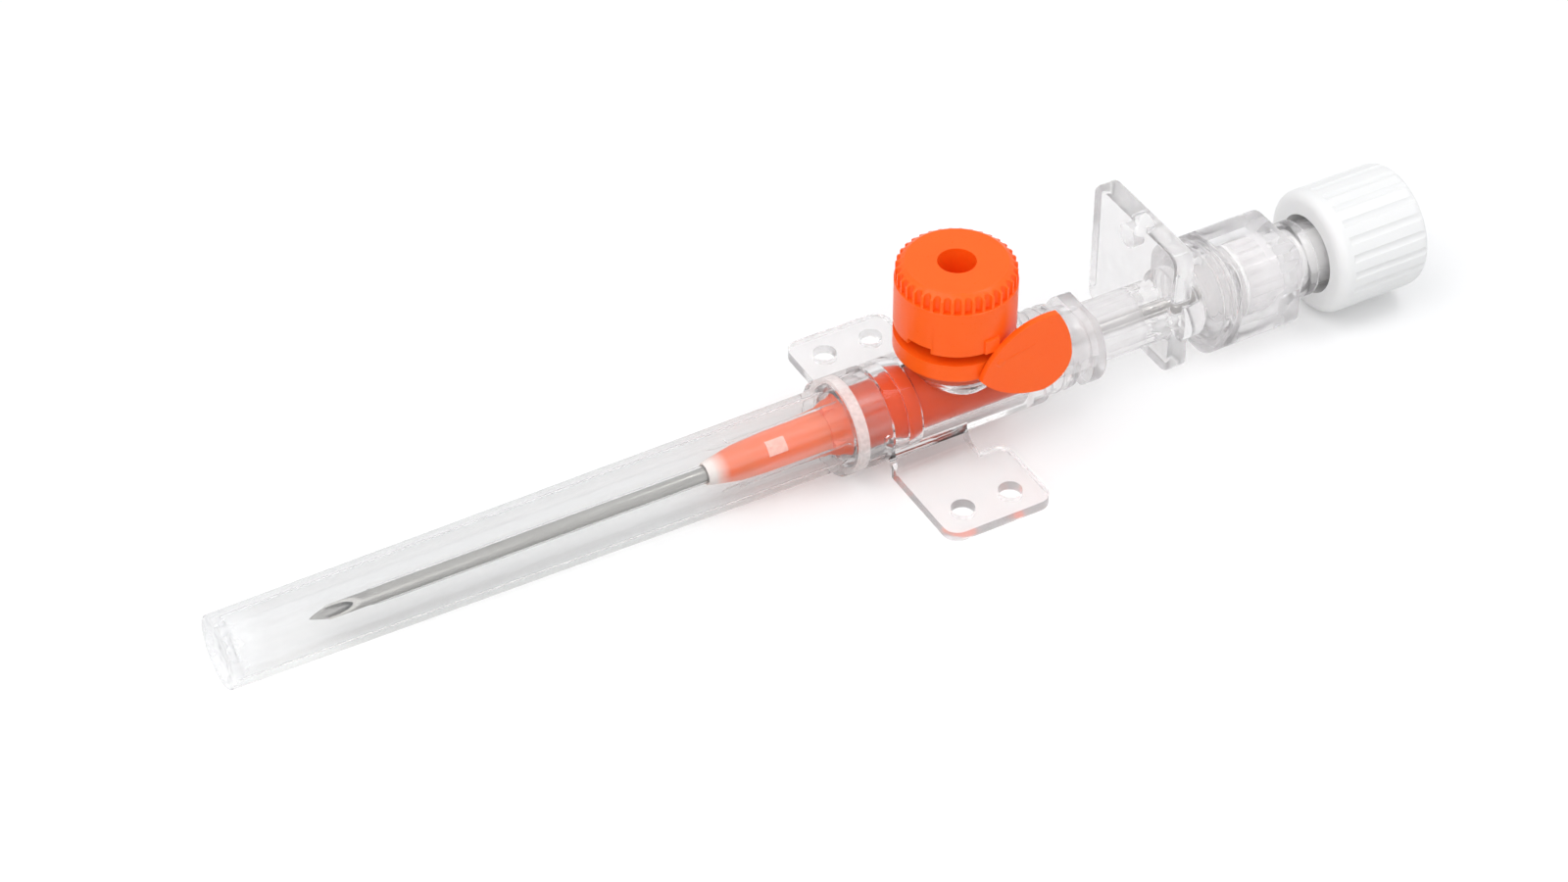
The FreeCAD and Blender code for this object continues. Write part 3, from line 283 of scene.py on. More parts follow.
@dataclass(frozen=True)
class ClearMoulding:
    """Clear moulded plastic with faint flow ripples, as on the hubs and the chamber.

    It is clearest near the middle plane where clear_half is set, and milkier past milky_place, or in
    front of it where milky_front is set.
    """

    name: str = "clear_moulding"
    colour: Colour = (0.94, 0.935, 0.935)
    roughness: float = 0.08
    index: float = 1.27
    haze: float = 0.14
    ripple: float = 0.15
    clear_half: float = 0.0
    clear_haze: float = 0.015
    milky_place: float = 0.0
    milky_haze: float = 0.0
    milky_front: bool = False
    blend_mm: float = 1.5
    passes: Colour = (0.93, 0.925, 0.925)
    milk_colour: Colour = (0.93, 0.92, 0.925)
    milk_through: float = 0.5

    def make(self) -> bpy.types.Material:
        """Build the material."""
        shading = Shading(self.name)
        flow = shading.noise((0.35, 0.9, 0.9), 3.0)
        normal = shading.bump(flow, self.ripple, 0.05)
        glass = shading.add(
            "ShaderNodeBsdfPrincipled",
            {
                "Base Color": (*self.colour, 1.0),
                "Roughness": self.roughness,
                "IOR": self.index,
                "Transmission Weight": 1.0,
                "Normal": normal,
            },
        )
        milk = shading.milk(self.milk_colour, self.milk_through)
        if self.clear_half:
            edge = self.clear_half + self.blend_mm
            cloud = shading.beside(self.clear_half, edge, self.clear_haze, self.haze)
        else:
            cloud = shading.spread(shading.noise((0.2, 0.5, 0.5), 2.0), self.haze * 0.7, self.haze * 1.3)
        if self.milky_haze:
            ends = (self.milky_haze, 0.0) if self.milky_front else (0.0, self.milky_haze)
            more = shading.along(self.milky_place, self.milky_place + self.blend_mm, *ends)
            cloud = shading.sum_of(cloud, more)
        body = shading.mix(cloud, glass.outputs[0], milk)
        return shading.done(shading.lets_lamps_through(body, self.passes))


@dataclass(frozen=True)
class FrostedSleeve:
    """Thin frosted plastic with soft lengthwise draw marks, as on the needle cover, and painted shade where
    it is seen edge-on.
    """

    name: str = "frosted_sleeve"
    colour: Colour = (0.89, 0.89, 0.887)
    roughness: float = 0.0
    index: float = 1.04
    haze: float = 0.07
    edge_shade: float = 0.6
    edge_power: float = 6.0
    painted_edge_shade_colour: Colour = (0.66, 0.66, 0.66)
    milk_colour: Colour = (0.93, 0.93, 0.94)
    passes: Colour = (0.93, 0.93, 0.93)
    end_haze: float = 0.2
    end_length: float = 4.0
    bright_end: float = -62.5

    def make(self) -> bpy.types.Material:
        """Build the material."""
        shading = Shading(self.name)
        streaks = shading.noise((0.008, 1.1, 1.1), 1.0, 0.4)
        glass = shading.add(
            "ShaderNodeBsdfPrincipled",
            {
                "Base Color": (*self.colour, 1.0),
                "Roughness": self.roughness,
                "IOR": self.index,
                "Transmission Weight": 1.0,
            },
        )
        milk = shading.milk(self.milk_colour, 0.5)
        drawn = shading.spread(streaks, self.haze * 0.2, self.haze * 1.9, 0.35, 0.65)
        end = shading.along(self.bright_end, self.bright_end + self.end_length, self.end_haze, 0.0)
        # Painted shade: where the sleeve is seen edge-on it turns to a darker grey milk, standing in for the
        # dark refracted and reflected edges of clear plastic.
        rim = shading.add("ShaderNodeLayerWeight", {"Blend": 0.5})
        facing = {0: rim.outputs["Facing"], 1: self.edge_power}
        steep = shading.add("ShaderNodeMath", facing, operation="POWER")
        edge = shading.times(steep.outputs[0], self.edge_shade)
        cloud = shading.sum_of(drawn, end)
        # The darker grey milk of the painted edge shade.
        wall = shading.milk(self.painted_edge_shade_colour, 0.5)
        body = shading.mix(edge, shading.mix(cloud, glass.outputs[0], milk), wall)
        return shading.done(shading.lets_lamps_through(body, self.passes))


@dataclass(frozen=True)
class FrostedBand:
    """Bright matt band: a painted reflection at the cover's collar, and also the pale finish of the nose's
    window pane.
    """

    name: str = "painted_reflection_band"
    colour: Colour = (0.95, 0.93, 0.92)
    cover: float = 0.5
    through: float = 0.45

    def make(self) -> bpy.types.Material:
        """Build the material."""
        shading = Shading(self.name)
        grain = shading.noise((3.0, 3.0, 3.0), 3.0)
        milk = shading.milk(self.colour, self.through)
        clear = shading.add("ShaderNodeBsdfTransparent", {"Color": (0.98, 0.98, 0.98, 1.0)})
        share = shading.spread(grain, self.cover * 0.85, self.cover * 1.15)
        return shading.done(shading.mix(share, clear.outputs[0], milk))


@dataclass(frozen=True)
class ThinTube:
    """Clear soft plastic drawn over the needle."""

    name: str = "drawn_tube"
    colour: Colour = (0.96, 0.96, 0.95)
    roughness: float = 0.05
    index: float = 1.2
    milk_colour: Colour = (0.9, 0.9, 0.88)
    passes: Colour = (0.97, 0.97, 0.97)

    def make(self) -> bpy.types.Material:
        """Build the material."""
        shading = Shading(self.name)
        marks = shading.noise((0.05, 3.0, 3.0), 3.0)
        glass = shading.add(
            "ShaderNodeBsdfPrincipled",
            {
                "Base Color": (*self.colour, 1.0),
                "Roughness": self.roughness,
                "IOR": self.index,
                "Transmission Weight": 1.0,
            },
        )
        milk = shading.add("ShaderNodeBsdfDiffuse", {"Color": (*self.milk_colour, 1.0)})
        body = shading.mix(shading.spread(marks, 0.01, 0.05), glass.outputs[0], milk.outputs[0])
        return shading.done(shading.lets_lamps_through(body, self.passes))


@dataclass(frozen=True)
class DrawnMetal:
    """Bright metal with fine lengthwise draw lines."""

    name: str
    colour: Colour
    roughness: float = 0.25

    def make(self) -> bpy.types.Material:
        """Build the material."""
        shading = Shading(self.name)
        lines = shading.noise((0.08, 14.0, 14.0), 4.0, 0.6)
        dark = tuple(value * 0.82 for value in self.colour)
        steel = shading.add(
            "ShaderNodeBsdfPrincipled",
            {
                "Base Color": shading.tint(lines, dark, self.colour),
                "Metallic": 1.0,
                "Roughness": shading.spread(lines, self.roughness * 0.8, self.roughness * 1.3),
                "Normal": shading.bump(lines, 0.25, 0.01),
            },
        )
        return shading.done(steel.outputs[0])


@dataclass(frozen=True)
class SoftPlastic:
    """Opaque or nearly opaque moulded plastic that light sinks into a little."""

    name: str
    colour: Colour
    shade: Colour
    roughness: float = 0.38
    depth: Colour = (1.0, 0.35, 0.15)
    sink: float = 0.25
    sink_mm: float = 0.5
    grain: float = 6.0
    shine: float = 0.4

    def make(self) -> bpy.types.Material:
        """Build the material."""
        shading = Shading(self.name)
        flow = shading.noise((0.25, 0.25, 0.25), 2.0)
        fine = shading.noise((self.grain, self.grain, self.grain), 2.0)
        plastic = shading.add(
            "ShaderNodeBsdfPrincipled",
            {
                "Base Color": shading.tint(flow, self.shade, self.colour),
                "Roughness": shading.spread(fine, self.roughness * 0.85, self.roughness * 1.2),
                "Specular IOR Level": self.shine,
                "Subsurface Weight": self.sink,
                "Subsurface Radius": self.depth,
                "Subsurface Scale": self.sink_mm * MM,
                "Normal": shading.bump(fine, 0.15, 0.01),
            },
        )
        return shading.done(plastic.outputs[0])


@dataclass(frozen=True)
class GlowingCore:
    """Coloured plastic that light passes through: deep behind, paler in the thin nose, and pale at the tip,
    where the clearer tip plastic and a painted highlight share one colour.
    """

    name: str = "core_moulding"
    colour: Colour = (1.0, 0.13, 0.012)
    shade: Colour = (1.0, 0.105, 0.008)
    thin_colour: Colour = (1.0, 0.25, 0.1)
    through_colour: Colour = (1.0, 0.24, 0.05)
    through: float = 0.4
    tip_and_highlight_colour: Colour = (0.93, 0.9, 0.87)
    passes: Colour = (0.21, 0.195, 0.19)
    roughness: float = 0.4
    tip_end: float = -18.1
    tip_blend: float = 1.3
    thin_end: float = -10.0
    thin_blend: float = 5.0

    def make(self) -> bpy.types.Material:
        """Build the material."""
        shading = Shading(self.name)
        flow = shading.noise((0.15, 0.7, 0.7), 3.0)
        deep = shading.tint(flow, self.shade, self.colour)
        thin = shading.along(self.thin_end, self.thin_end + self.thin_blend, 1.0, 0.0)
        skin = shading.add(
            "ShaderNodeBsdfPrincipled",
            {
                "Base Color": shading.blend(thin, deep, self.thin_colour),
                "Roughness": self.roughness,
                "IOR": 1.3,
                "Transmission Weight": 0.15,
                "Normal": shading.bump(flow, 0.3, 0.05),
            },
        )
        through = shading.add("ShaderNodeBsdfTranslucent", {"Color": (*self.through_colour, 1.0)})
        coloured = shading.mix(self.through, skin.outputs[0], through.outputs[0])
        # The pale tip is partly the clearer thin plastic and partly a painted highlight, laid all round the
        # tip.
        pale = shading.add(
            "ShaderNodeBsdfPrincipled",
            {
                "Base Color": (*self.tip_and_highlight_colour, 1.0),
                "Roughness": self.roughness,
                "Transmission Weight": 0.4,
            },
        )
        tip = shading.along(self.tip_end - self.tip_blend, self.tip_end, 1.0, 0.0)
        body = shading.mix(tip, coloured, pale.outputs[0])
        return shading.done(shading.lets_lamps_through(body, self.passes))


@dataclass(frozen=True)
class Silicone:
    """Milky silicone or filter stock."""

    name: str
    colour: Colour = (0.86, 0.86, 0.84)

    def make(self) -> bpy.types.Material:
        """Build the material."""
        shading = Shading(self.name)
        fine = shading.noise((5.0, 5.0, 5.0), 3.0)
        dark = tuple(value * 0.9 for value in self.colour)
        rubber = shading.add(
            "ShaderNodeBsdfPrincipled",
            {
                "Base Color": shading.tint(fine, dark, self.colour),
                "Roughness": shading.spread(fine, 0.45, 0.65),
                "Normal": shading.bump(fine, 0.2, 0.02),
            },
        )
        return shading.done(rubber.outputs[0])


@dataclass
class Moulder:
    """Makes finished pieces out of millimetre meshes."""

    made: list[bpy.types.Object] = field(default_factory=list)

    def finish(
        self,
        mesh: bmesh.types.BMesh,
        name: str,
        rider: Rider,
        stock: Stock,
        material: bpy.types.Material,
        replaces: tuple[str, ...] = (),
    ) -> None:
        """Args:
            mesh: The shape, in millimetres in the frame's place. It is freed here.
            name: The piece's name.
            rider: The body that it rides on.
            stock: The record's slot.
            material: Its finish.
            replaces: CAD nodes that it stands for.
        """
        bmesh.ops.scale(mesh, vec=(MM, MM, MM), verts=mesh.verts)
        for face in mesh.faces:
            face.smooth = True
        limit = math.radians(SMOOTH_DEG)
        for edge in mesh.edges:
            edge.smooth = len(edge.link_faces) == 2 and edge.calc_face_angle(0.0) < limit
        data = bpy.data.meshes.new(name)
        mesh.to_mesh(data)
        mesh.free()
        data.materials.append(material)
        piece = bpy.data.objects.new(name, data)
        bpy.context.scene.collection.objects.link(piece)
        flat = piece.modifiers.new("flat_faces_first", "WEIGHTED_NORMAL")
        flat.mode = "FACE_AREA"
        flat.weight = 50
        flat.keep_sharp = True
        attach(piece, rider.value)
        if replaces:
            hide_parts(*replaces)
        self.made.append(piece)
        log.info("%s: %d faces on %s", name, len(data.polygons), rider.value)

    @staticmethod
    def lathe(outline: list[tuple[float, float]], place: Vector, steps: int) -> bmesh.types.BMesh:
        """Turn a closed section about a line along X.

        Args:
            outline: Places along X and radii, in millimetres.
            place: A point on the line.
            steps: Steps in the full turn.

        Returns:
            The turned mesh.
        """
        mesh = bmesh.new()
        verts = [mesh.verts.new((x, place.y, place.z + radius)) for x, radius in outline]
        edges = [mesh.edges.new((verts[i], verts[(i + 1) % len(verts)])) for i in range(len(verts))]
        bmesh.ops.spin(
            mesh, geom=verts + edges, cent=place, axis=TURN_AXIS, angle=2 * math.pi, steps=steps,
            use_merge=True, use_duplicate=False,
        )
        bmesh.ops.remove_doubles(mesh, verts=mesh.verts, dist=JOINT_NEAR)
        stray = [edge for edge in mesh.edges if not edge.link_faces]
        bmesh.ops.delete(mesh, geom=stray, context="EDGES")
        bmesh.ops.recalc_face_normals(mesh, faces=mesh.faces)
        return mesh

    @staticmethod
    def round_edges(mesh: bmesh.types.BMesh, width: float, segments: int, sharp_deg: float = 28.0) -> None:
        """Round every edge that turns sharply.

        Args:
            mesh: The mesh to round, in millimetres.
            width: How far the rounding reaches from each edge.
            segments: Steps across each rounding.
            sharp_deg: Edges that turn by more than this are rounded.
        """
        limit = math.radians(sharp_deg)
        sharp = [e for e in mesh.edges if len(e.link_faces) == 2 and e.calc_face_angle(0.0) > limit]
        bmesh.ops.bevel(
            mesh, geom=sharp, offset=width, offset_type="OFFSET", segments=segments, profile=0.5,
            affect="EDGES", clamp_overlap=True, material=-1,
        )

    @staticmethod
    def copy_of(node: str) -> bmesh.types.BMesh:
        """A copy of a CAD node in millimetres, with its seams merged."""
        mesh = bmesh.new()
        mesh.from_mesh(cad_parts[node].data)
        bmesh.ops.scale(mesh, vec=(1 / MM, 1 / MM, 1 / MM), verts=mesh.verts)
        bmesh.ops.remove_doubles(mesh, verts=mesh.verts, dist=NEAR)
        return mesh

    def soften(self, mesh: bmesh.types.BMesh, width: float, segments: int = 2) -> bmesh.types.BMesh:
        """Join the flat faces of a mesh and round its sharp edges.

        Args:
            mesh: The mesh, in millimetres.
            width: How far the rounding reaches from each edge.
            segments: Steps across each rounding.

        Returns:
            The same mesh.
        """
        bmesh.ops.dissolve_limit(
            mesh, angle_limit=math.radians(FLAT_DEG), verts=mesh.verts, edges=mesh.edges, delimit=set()
        )
        self.round_edges(mesh, width, segments)
        return mesh

    def softened(self, node: str, width: float, segments: int = 2) -> bmesh.types.BMesh:
        """A copy of a CAD node with its seams merged and its sharp edges rounded.

        Args:
            node: The CAD node.
            width: How far the rounding reaches from each edge, in millimetres.
            segments: Steps across each rounding.

        Returns:
            The mesh, in millimetres.
        """
        return self.soften(self.copy_of(node), width, segments)


@dataclass
class Assembly:
    """What every sub-assembly has: the maker of its pieces and the finishes."""

    moulder: Moulder
    finishes: dict[Stock, bpy.types.Material]

    @property
    def axis(self) -> Vector:
        """A point on the centre line that the needle runs along, in millimetres."""
        low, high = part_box("needle")
        return Vector((0.0, 0.0, (low[2] + high[2]) / 2 / MM))

    def span(self, node: str, axis: int = 0) -> tuple[float, float]:
        """Where a CAD node starts and ends along an axis.

        Args:
            node: The CAD node.
            axis: 0, 1 or 2 for X, Y or Z.

        Returns:
            Its lowest and highest place, in millimetres.
        """
        low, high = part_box(node)
        return low[axis] / MM, high[axis] / MM

    def dress(
        self,
        node: str,
        rider: Rider,
        stock: Stock,
        width: float,
        segments: int = 2,
        finish: Optional[bpy.types.Material] = None,
    ) -> None:
        """Stand a softened copy in for a CAD node.

        Args:
            node: The CAD node.
            rider: The body that it rides on.
            stock: The slot of its finish.
            width: How far its edges are rounded, in millimetres.
            segments: Steps across each rounding.
            finish: Its own finish, where it isn't the slot's.
        """
        mesh = self.moulder.softened(node, width, segments)
        self.put(mesh, node + "_moulding", rider, stock, (node,), finish)

    def put(
        self,
        mesh: bmesh.types.BMesh,
        name: str,
        rider: Rider,
        stock: Stock,
        replaces: tuple[str, ...] = (),
        finish: Optional[bpy.types.Material] = None,
    ) -> None:
        """Finish a mesh as a piece.

        Args:
            mesh: The shape in millimetres.
            name: The piece's name.
            rider: The body that it rides on.
            stock: The slot of its finish.
            replaces: CAD nodes that it stands for.
            finish: Its own finish, where it isn't the slot's.
        """
        self.moulder.finish(mesh, name, rider, stock, finish or self.finishes[stock], replaces)


@dataclass
class NeedleCover(Assembly):
    """Long frosted cover: drafted tube with a recessed end, a stepped collar and grip ribs inside."""

    tip_radius: float = 3.08
    neck_radius: float = 3.5
    wall: float = 0.55
    end_wall: float = 1.1
    recess_radius: float = 1.9
    recess_depth: float = 0.35
    collar_length: float = 4.3
    collar_radius: float = 4.15
    collar_slope: float = 0.3
    seat_length: float = 3.3
    seat_radius: float = 3.55
    rib_length: float = 10.0
    rib_height: float = 0.42
    rib_half_deg: float = 5.0
    rib_count: int = 4
    band_offset: float = 3.15
    band_length: float = 0.95
    band_inner: float = 3.62
    band_outer: float = 4.1
    edge_round: float = 0.16
    steps: int = 144

    def outline(self) -> list[tuple[float, float]]:
        """The section above the centre line, closed, as places along X and radii."""
        tip, mouth = self.span("needle_cover")
        collar = mouth - self.collar_length
        seat = mouth - self.seat_length
        rib = seat - self.rib_length
        bore_tip, bore_neck = self.tip_radius - self.wall, self.neck_radius - self.wall
        at_rib = bore_tip + (bore_neck - bore_tip) * (rib - tip) / (seat - tip)
        return [
            (tip + self.recess_depth, 0.0),
            (tip + self.recess_depth, self.recess_radius),
            (tip, self.recess_radius + self.recess_depth),
            (tip, self.tip_radius),
            (collar, self.neck_radius),
            (collar + self.collar_slope, self.collar_radius),
            (mouth, self.collar_radius),
            (mouth, self.seat_radius),
            (seat, self.seat_radius),
            (seat, bore_neck),
            (rib, at_rib),
            (rib - self.rib_height, at_rib),
            (tip + self.end_wall, bore_tip),
            (tip + self.end_wall, 0.0),
        ]

    def raise_ribs(self, mesh: bmesh.types.BMesh) -> None:
        """Press the wall in along four lines near the mouth, so that the cover grips the core."""
        _, mouth = self.span("needle_cover")
        seat = mouth - self.seat_length
        start = seat - self.rib_length
        half = math.radians(self.rib_half_deg)
        pitch = 2 * math.pi / self.rib_count
        for vert in mesh.verts:
            arm = vert.co - self.axis
            radius = math.hypot(arm.y, arm.z)
            angle = math.atan2(arm.z, arm.y)
            off = abs((angle + pitch / 2) % pitch - pitch / 2)
            inside = radius < self.neck_radius - self.wall / 2
            if inside and start - NEAR < arm.x < seat + NEAR and off < half:
                share = 1 - self.rib_height / radius
                vert.co = self.axis + Vector((arm.x, arm.y * share, arm.z * share))

    def build(self) -> None:
        """Make the cover."""
        mesh = self.moulder.lathe(self.outline(), self.axis, steps=self.steps)
        self.moulder.round_edges(mesh, self.edge_round, 3)
        self.raise_ribs(mesh)
        self.put(mesh, "needle_cover_moulding", Rider.COVER, Stock.COVER, ("needle_cover",))
        # Painted reflection: a bright matt band inside the collar stands in for the bright ring that the
        # collar's clear walls reflect.
        _, mouth = self.span("needle_cover")
        start = mouth - self.band_offset
        band = [
            (start, self.band_inner),
            (start, self.band_outer),
            (start + self.band_length, self.band_outer),
            (start + self.band_length, self.band_inner),
        ]
        reflection_band = self.moulder.lathe(band, self.axis, steps=self.steps)
        self.moulder.round_edges(reflection_band, self.edge_round / 2, 2)
        self.put(reflection_band, "collar_painted_reflection_band", Rider.COVER, Stock.COVER, finish=FrostedBand().make())


@dataclass
class Catheter(Assembly):
    """Soft tube and the metal wedge that holds it in the nose."""

    tube_radius: float = 0.75
    tube_bore: float = 0.62
    tip_radius: float = 0.67
    taper: float = 2.2
    flare_length: float = 1.3
    flare_growth: float = 0.3
    steps: int = 64

    def build(self) -> None:
        """Make the tube as one lathed wall and dress the wedge."""
        tip, end = self.span("catheter_tube")
        flare = end - self.flare_length
        wall = [
            (tip, self.tube_bore),
            (tip, self.tip_radius),
            (tip + self.taper, self.tube_radius),
            (flare, self.tube_radius),
            (end, self.tube_radius + self.flare_growth),
            (end, self.tube_bore + self.flare_growth),
            (flare, self.tube_bore),
        ]
        mesh = self.moulder.lathe(wall, self.axis, steps=self.steps)
        self.put(mesh, "catheter_tube_moulding", Rider.HUB, Stock.CATHETER, ("catheter_tube",))
        self.dress("catheter_ferrule", Rider.HUB, Stock.FERRULE, 0.05)


@dataclass
class Hub(Assembly):
    """Clear winged hub, its coloured core and the valve sleeve inside."""

    edge_round: float = 0.16
    core_round: float = 0.1
    valve_round: float = 0.05
    ring_places: tuple[float, float] = (12.2, 13.1)
    ring_seat: float = 3.66
    ring_height: float = 0.1
    ring_width: float = 0.2
    nose_sharp_deg: float = 8.0
    nose_bore: float = 0.78
    nose_radius: float = 0.98
    body_start: float = -17.05
    body_start_radius: float = 1.5
    body_end: float = -9.0
    body_end_radius: float = 1.9
    pane_length: float = 1.7
    pane_width: float = 1.3
    pane_thickness: float = 0.16
    pane_x: float = -13.85
    pane_radius: float = 1.67
    pane_roll_deg: float = 49.0
    pane_cuts: int = 7
    steps: int = 96

    def rear_ring(self, place: float) -> bmesh.types.BMesh:
        """One of the fine rings around the hub before its lugs."""
        half = self.ring_width / 2
        band = [
            (place - half, self.ring_seat),
            (place - half / 2, self.ring_seat + self.ring_height),
            (place + half / 2, self.ring_seat + self.ring_height),
            (place + half, self.ring_seat),
        ]
        mesh = self.moulder.lathe(band, self.axis, steps=self.steps)
        self.moulder.round_edges(mesh, self.ring_height / 4, 2)
        return mesh

    def core(self) -> bmesh.types.BMesh:
        """The core behind its nose."""
        mesh = self.moulder.copy_of("hub_nose")
        place = self.axis + Vector((self.body_end, 0.0, 0.0))
        bmesh.ops.bisect_plane(
            mesh, geom=mesh.verts[:] + mesh.edges[:] + mesh.faces[:], dist=JOINT_NEAR, plane_co=place,
            plane_no=TURN_AXIS, clear_inner=True,
        )
        rim = [edge for edge in mesh.edges if edge.is_boundary]
        bmesh.ops.holes_fill(mesh, edges=rim, sides=0)
        return self.moulder.soften(mesh, self.core_round)

    def nose(self) -> bmesh.types.BMesh:
        """The smooth nose that shows inside the cover."""
        tip, _ = self.span("hub_nose")
        mesh = self.moulder.lathe(
            [
                (tip, self.nose_bore),
                (tip, self.nose_radius),
                (self.body_start, self.body_start_radius),
                (self.body_end, self.body_end_radius),
                (self.body_end, self.nose_bore),
            ],
            self.axis,
            steps=self.steps,
        )
        self.moulder.round_edges(mesh, self.core_round, 3, self.nose_sharp_deg)
        return mesh

    def window_pane(self) -> bmesh.types.BMesh:
        """The pale pane of the nose's small window, bent to the nose and turned up from the near side."""
        mesh = bmesh.new()
        bmesh.ops.create_cube(mesh, size=1.0)
        bmesh.ops.scale(mesh, vec=(self.pane_length, self.pane_thickness, self.pane_width), verts=mesh.verts)
        bmesh.ops.subdivide_edges(mesh, edges=mesh.edges, cuts=self.pane_cuts, use_grid_fill=True)
        for vert in mesh.verts:
            vert.co.y -= math.sqrt(self.pane_radius ** 2 - vert.co.z ** 2)
        bmesh.ops.translate(mesh, vec=(self.pane_x, 0.0, 0.0), verts=mesh.verts)
        turn = Matrix.Rotation(-math.radians(self.pane_roll_deg), 3, "X")
        bmesh.ops.rotate(mesh, cent=(0, 0, 0), matrix=turn, verts=mesh.verts)
        bmesh.ops.translate(mesh, vec=self.axis, verts=mesh.verts)
        return mesh

    def build(self) -> None:
        """Dress the hub, its core and its valve, and add the rings and the window's floor."""
        clear = ClearMoulding("hub_moulding", clear_half=4.6, milky_place=9.0, milky_haze=0.15)
        self.dress("catheter_hub", Rider.HUB, Stock.CLEAR, self.edge_round, 3, clear.make())
        self.put(self.core(), "hub_core_moulding", Rider.HUB, Stock.CORE, ("hub_nose",))
        self.put(self.nose(), "hub_nose_moulding", Rider.HUB, Stock.CORE)
        self.dress("port_valve", Rider.HUB, Stock.VALVE, self.valve_round)
        for count, place in enumerate(self.ring_places, 1):
            self.put(self.rear_ring(place), f"rear_ring_{count}", Rider.HUB, Stock.CLEAR)
        pane = FrostedBand("window_finish", (0.97, 0.82, 0.74), 0.75).make()
        self.put(self.window_pane(), "window_pane", Rider.HUB, Stock.CORE, finish=pane)


@dataclass
class InjectionPort(Assembly):
    """Orange ring, knurled cap and the thumb tab beside it."""

    ring_round: float = 0.1
    cap_round: float = 0.09
    gate_x: float = 4.4
    gate_z: float = 9.4
    gate_radius: float = 0.45
    gate_height: float = 0.06
    ridge_length: float = 3.4
    ridge_width: float = 0.1
    ridge_tilt_deg: float = 12.0

    def gate_mark(self) -> bmesh.types.BMesh:
        """The small round mark where the plastic entered, with the faint ridge that runs from it."""
        face, _ = self.span("port_cap", 1)
        mesh = bmesh.new()
        bmesh.ops.create_cone(
            mesh, cap_ends=True, segments=32, radius1=self.gate_radius, radius2=self.gate_radius * 0.7,
            depth=self.gate_height * 2,
        )
        ridge = bmesh.ops.create_cube(mesh, size=1.0)["verts"]
        bmesh.ops.scale(mesh, vec=(self.ridge_length, self.ridge_width, self.gate_height), verts=ridge)
        bmesh.ops.translate(mesh, vec=(self.ridge_length / 2, 0.0, 0.0), verts=ridge)
        tilt = Matrix.Rotation(math.radians(self.ridge_tilt_deg), 3, "Z")
        bmesh.ops.rotate(mesh, cent=(0, 0, 0), matrix=tilt, verts=ridge)
        turn = Matrix.Rotation(math.pi / 2, 3, "X")
        bmesh.ops.rotate(mesh, cent=(0, 0, 0), matrix=turn, verts=mesh.verts)
        bmesh.ops.translate(mesh, vec=(self.gate_x, face, self.gate_z), verts=mesh.verts)
        self.moulder.round_edges(mesh, self.gate_height / 3, 2)
        return mesh

    def build(self) -> None:
        """Dress the ring and the cap, and add the mark on the tab."""
        self.dress("port_ring", Rider.HUB, Stock.CAP, self.ring_round)
        self.dress("port_cap", Rider.PORT_LID, Stock.CAP, self.cap_round)
        self.put(self.gate_mark(), "tab_gate_mark", Rider.PORT_LID, Stock.CAP)


@dataclass
class Stylet(Assembly):
    """Needle, its clear hub with the grip plate, the chamber and its vent."""

    needle_round: float = 0.02
    hub_round: float = 0.14
    chamber_round: float = 0.14
    plug_round: float = 0.08
    membrane_round: float = 0.04
    seam_inner: float = 3.9
    seam_width: float = 0.2
    point_length: float = 3.8
    point_stretch: float = 1.21
    point_roll_deg: float = 45.0
    seam_steps: tuple[tuple[float, float], ...] = ((0.0, 4.5), (-0.75, 4.3), (-1.5, 4.3))
    steps: int = 96

    def seam_ring(self, place: float, radius: float) -> bmesh.types.BMesh:
        """One of the round beads where the chamber is welded to its socket.

        Args:
            place: Where the bead ends, from the chamber's front.
            radius: The bead's radius.

        Returns:
            The bead.
        """
        end = self.span("flashback_chamber")[0] + place
        band = [
            (end - self.seam_width, self.seam_inner),
            (end - self.seam_width, radius),
            (end, radius),
            (end, self.seam_inner),
        ]
        mesh = self.moulder.lathe(band, self.axis, steps=self.steps)
        self.moulder.round_edges(mesh, self.seam_width / 4, 3)
        return mesh

    def needle(self) -> bmesh.types.BMesh:
        """The needle with its point drawn out a little, as it looks inside its cover."""
        mesh = self.moulder.softened("needle", self.needle_round)
        tip, _ = self.span("needle")
        root = tip + self.point_length
        for vert in mesh.verts:
            if vert.co.x < root:
                vert.co.x = root + (vert.co.x - root) * self.point_stretch
        turn = Matrix.Rotation(math.radians(self.point_roll_deg), 3, "X")
        bmesh.ops.rotate(mesh, cent=self.axis, matrix=turn, verts=mesh.verts)
        return mesh

    def build(self) -> None:
        """Dress the stylet's nodes and add the weld bead and the two beads before it."""
        self.put(self.needle(), "needle_moulding", Rider.STYLET, Stock.STEEL, ("needle",))
        barrel = ClearMoulding(
            "needle_hub_moulding", haze=0.12, milky_place=20.5, milky_haze=0.22, milky_front=True
        )
        self.dress("needle_hub", Rider.STYLET, Stock.CLEAR, self.hub_round, 3, barrel.make())
        neck = ClearMoulding("chamber_moulding", haze=0.1, milky_place=32.0, milky_haze=0.15)
        self.dress("flashback_chamber", Rider.STYLET, Stock.CLEAR, self.chamber_round, 3, neck.make())
        self.dress("vent_plug", Rider.STYLET, Stock.VENT, self.plug_round)
        self.dress("vent_membrane", Rider.STYLET, Stock.MEMBRANE, self.membrane_round)
        for count, (place, radius) in enumerate(self.seam_steps, 1):
            self.put(self.seam_ring(place, radius), f"seam_ring_{count}", Rider.STYLET, Stock.CLEAR)


@dataclass
class ClosingCap(Assembly):
    """White ribbed cap on the chamber's neck."""

    edge_round: float = 0.12

    def build(self) -> None:
        """Dress the cap."""
        self.dress("luer_cap", Rider.END_CAP, Stock.WHITE, self.edge_round, 3)


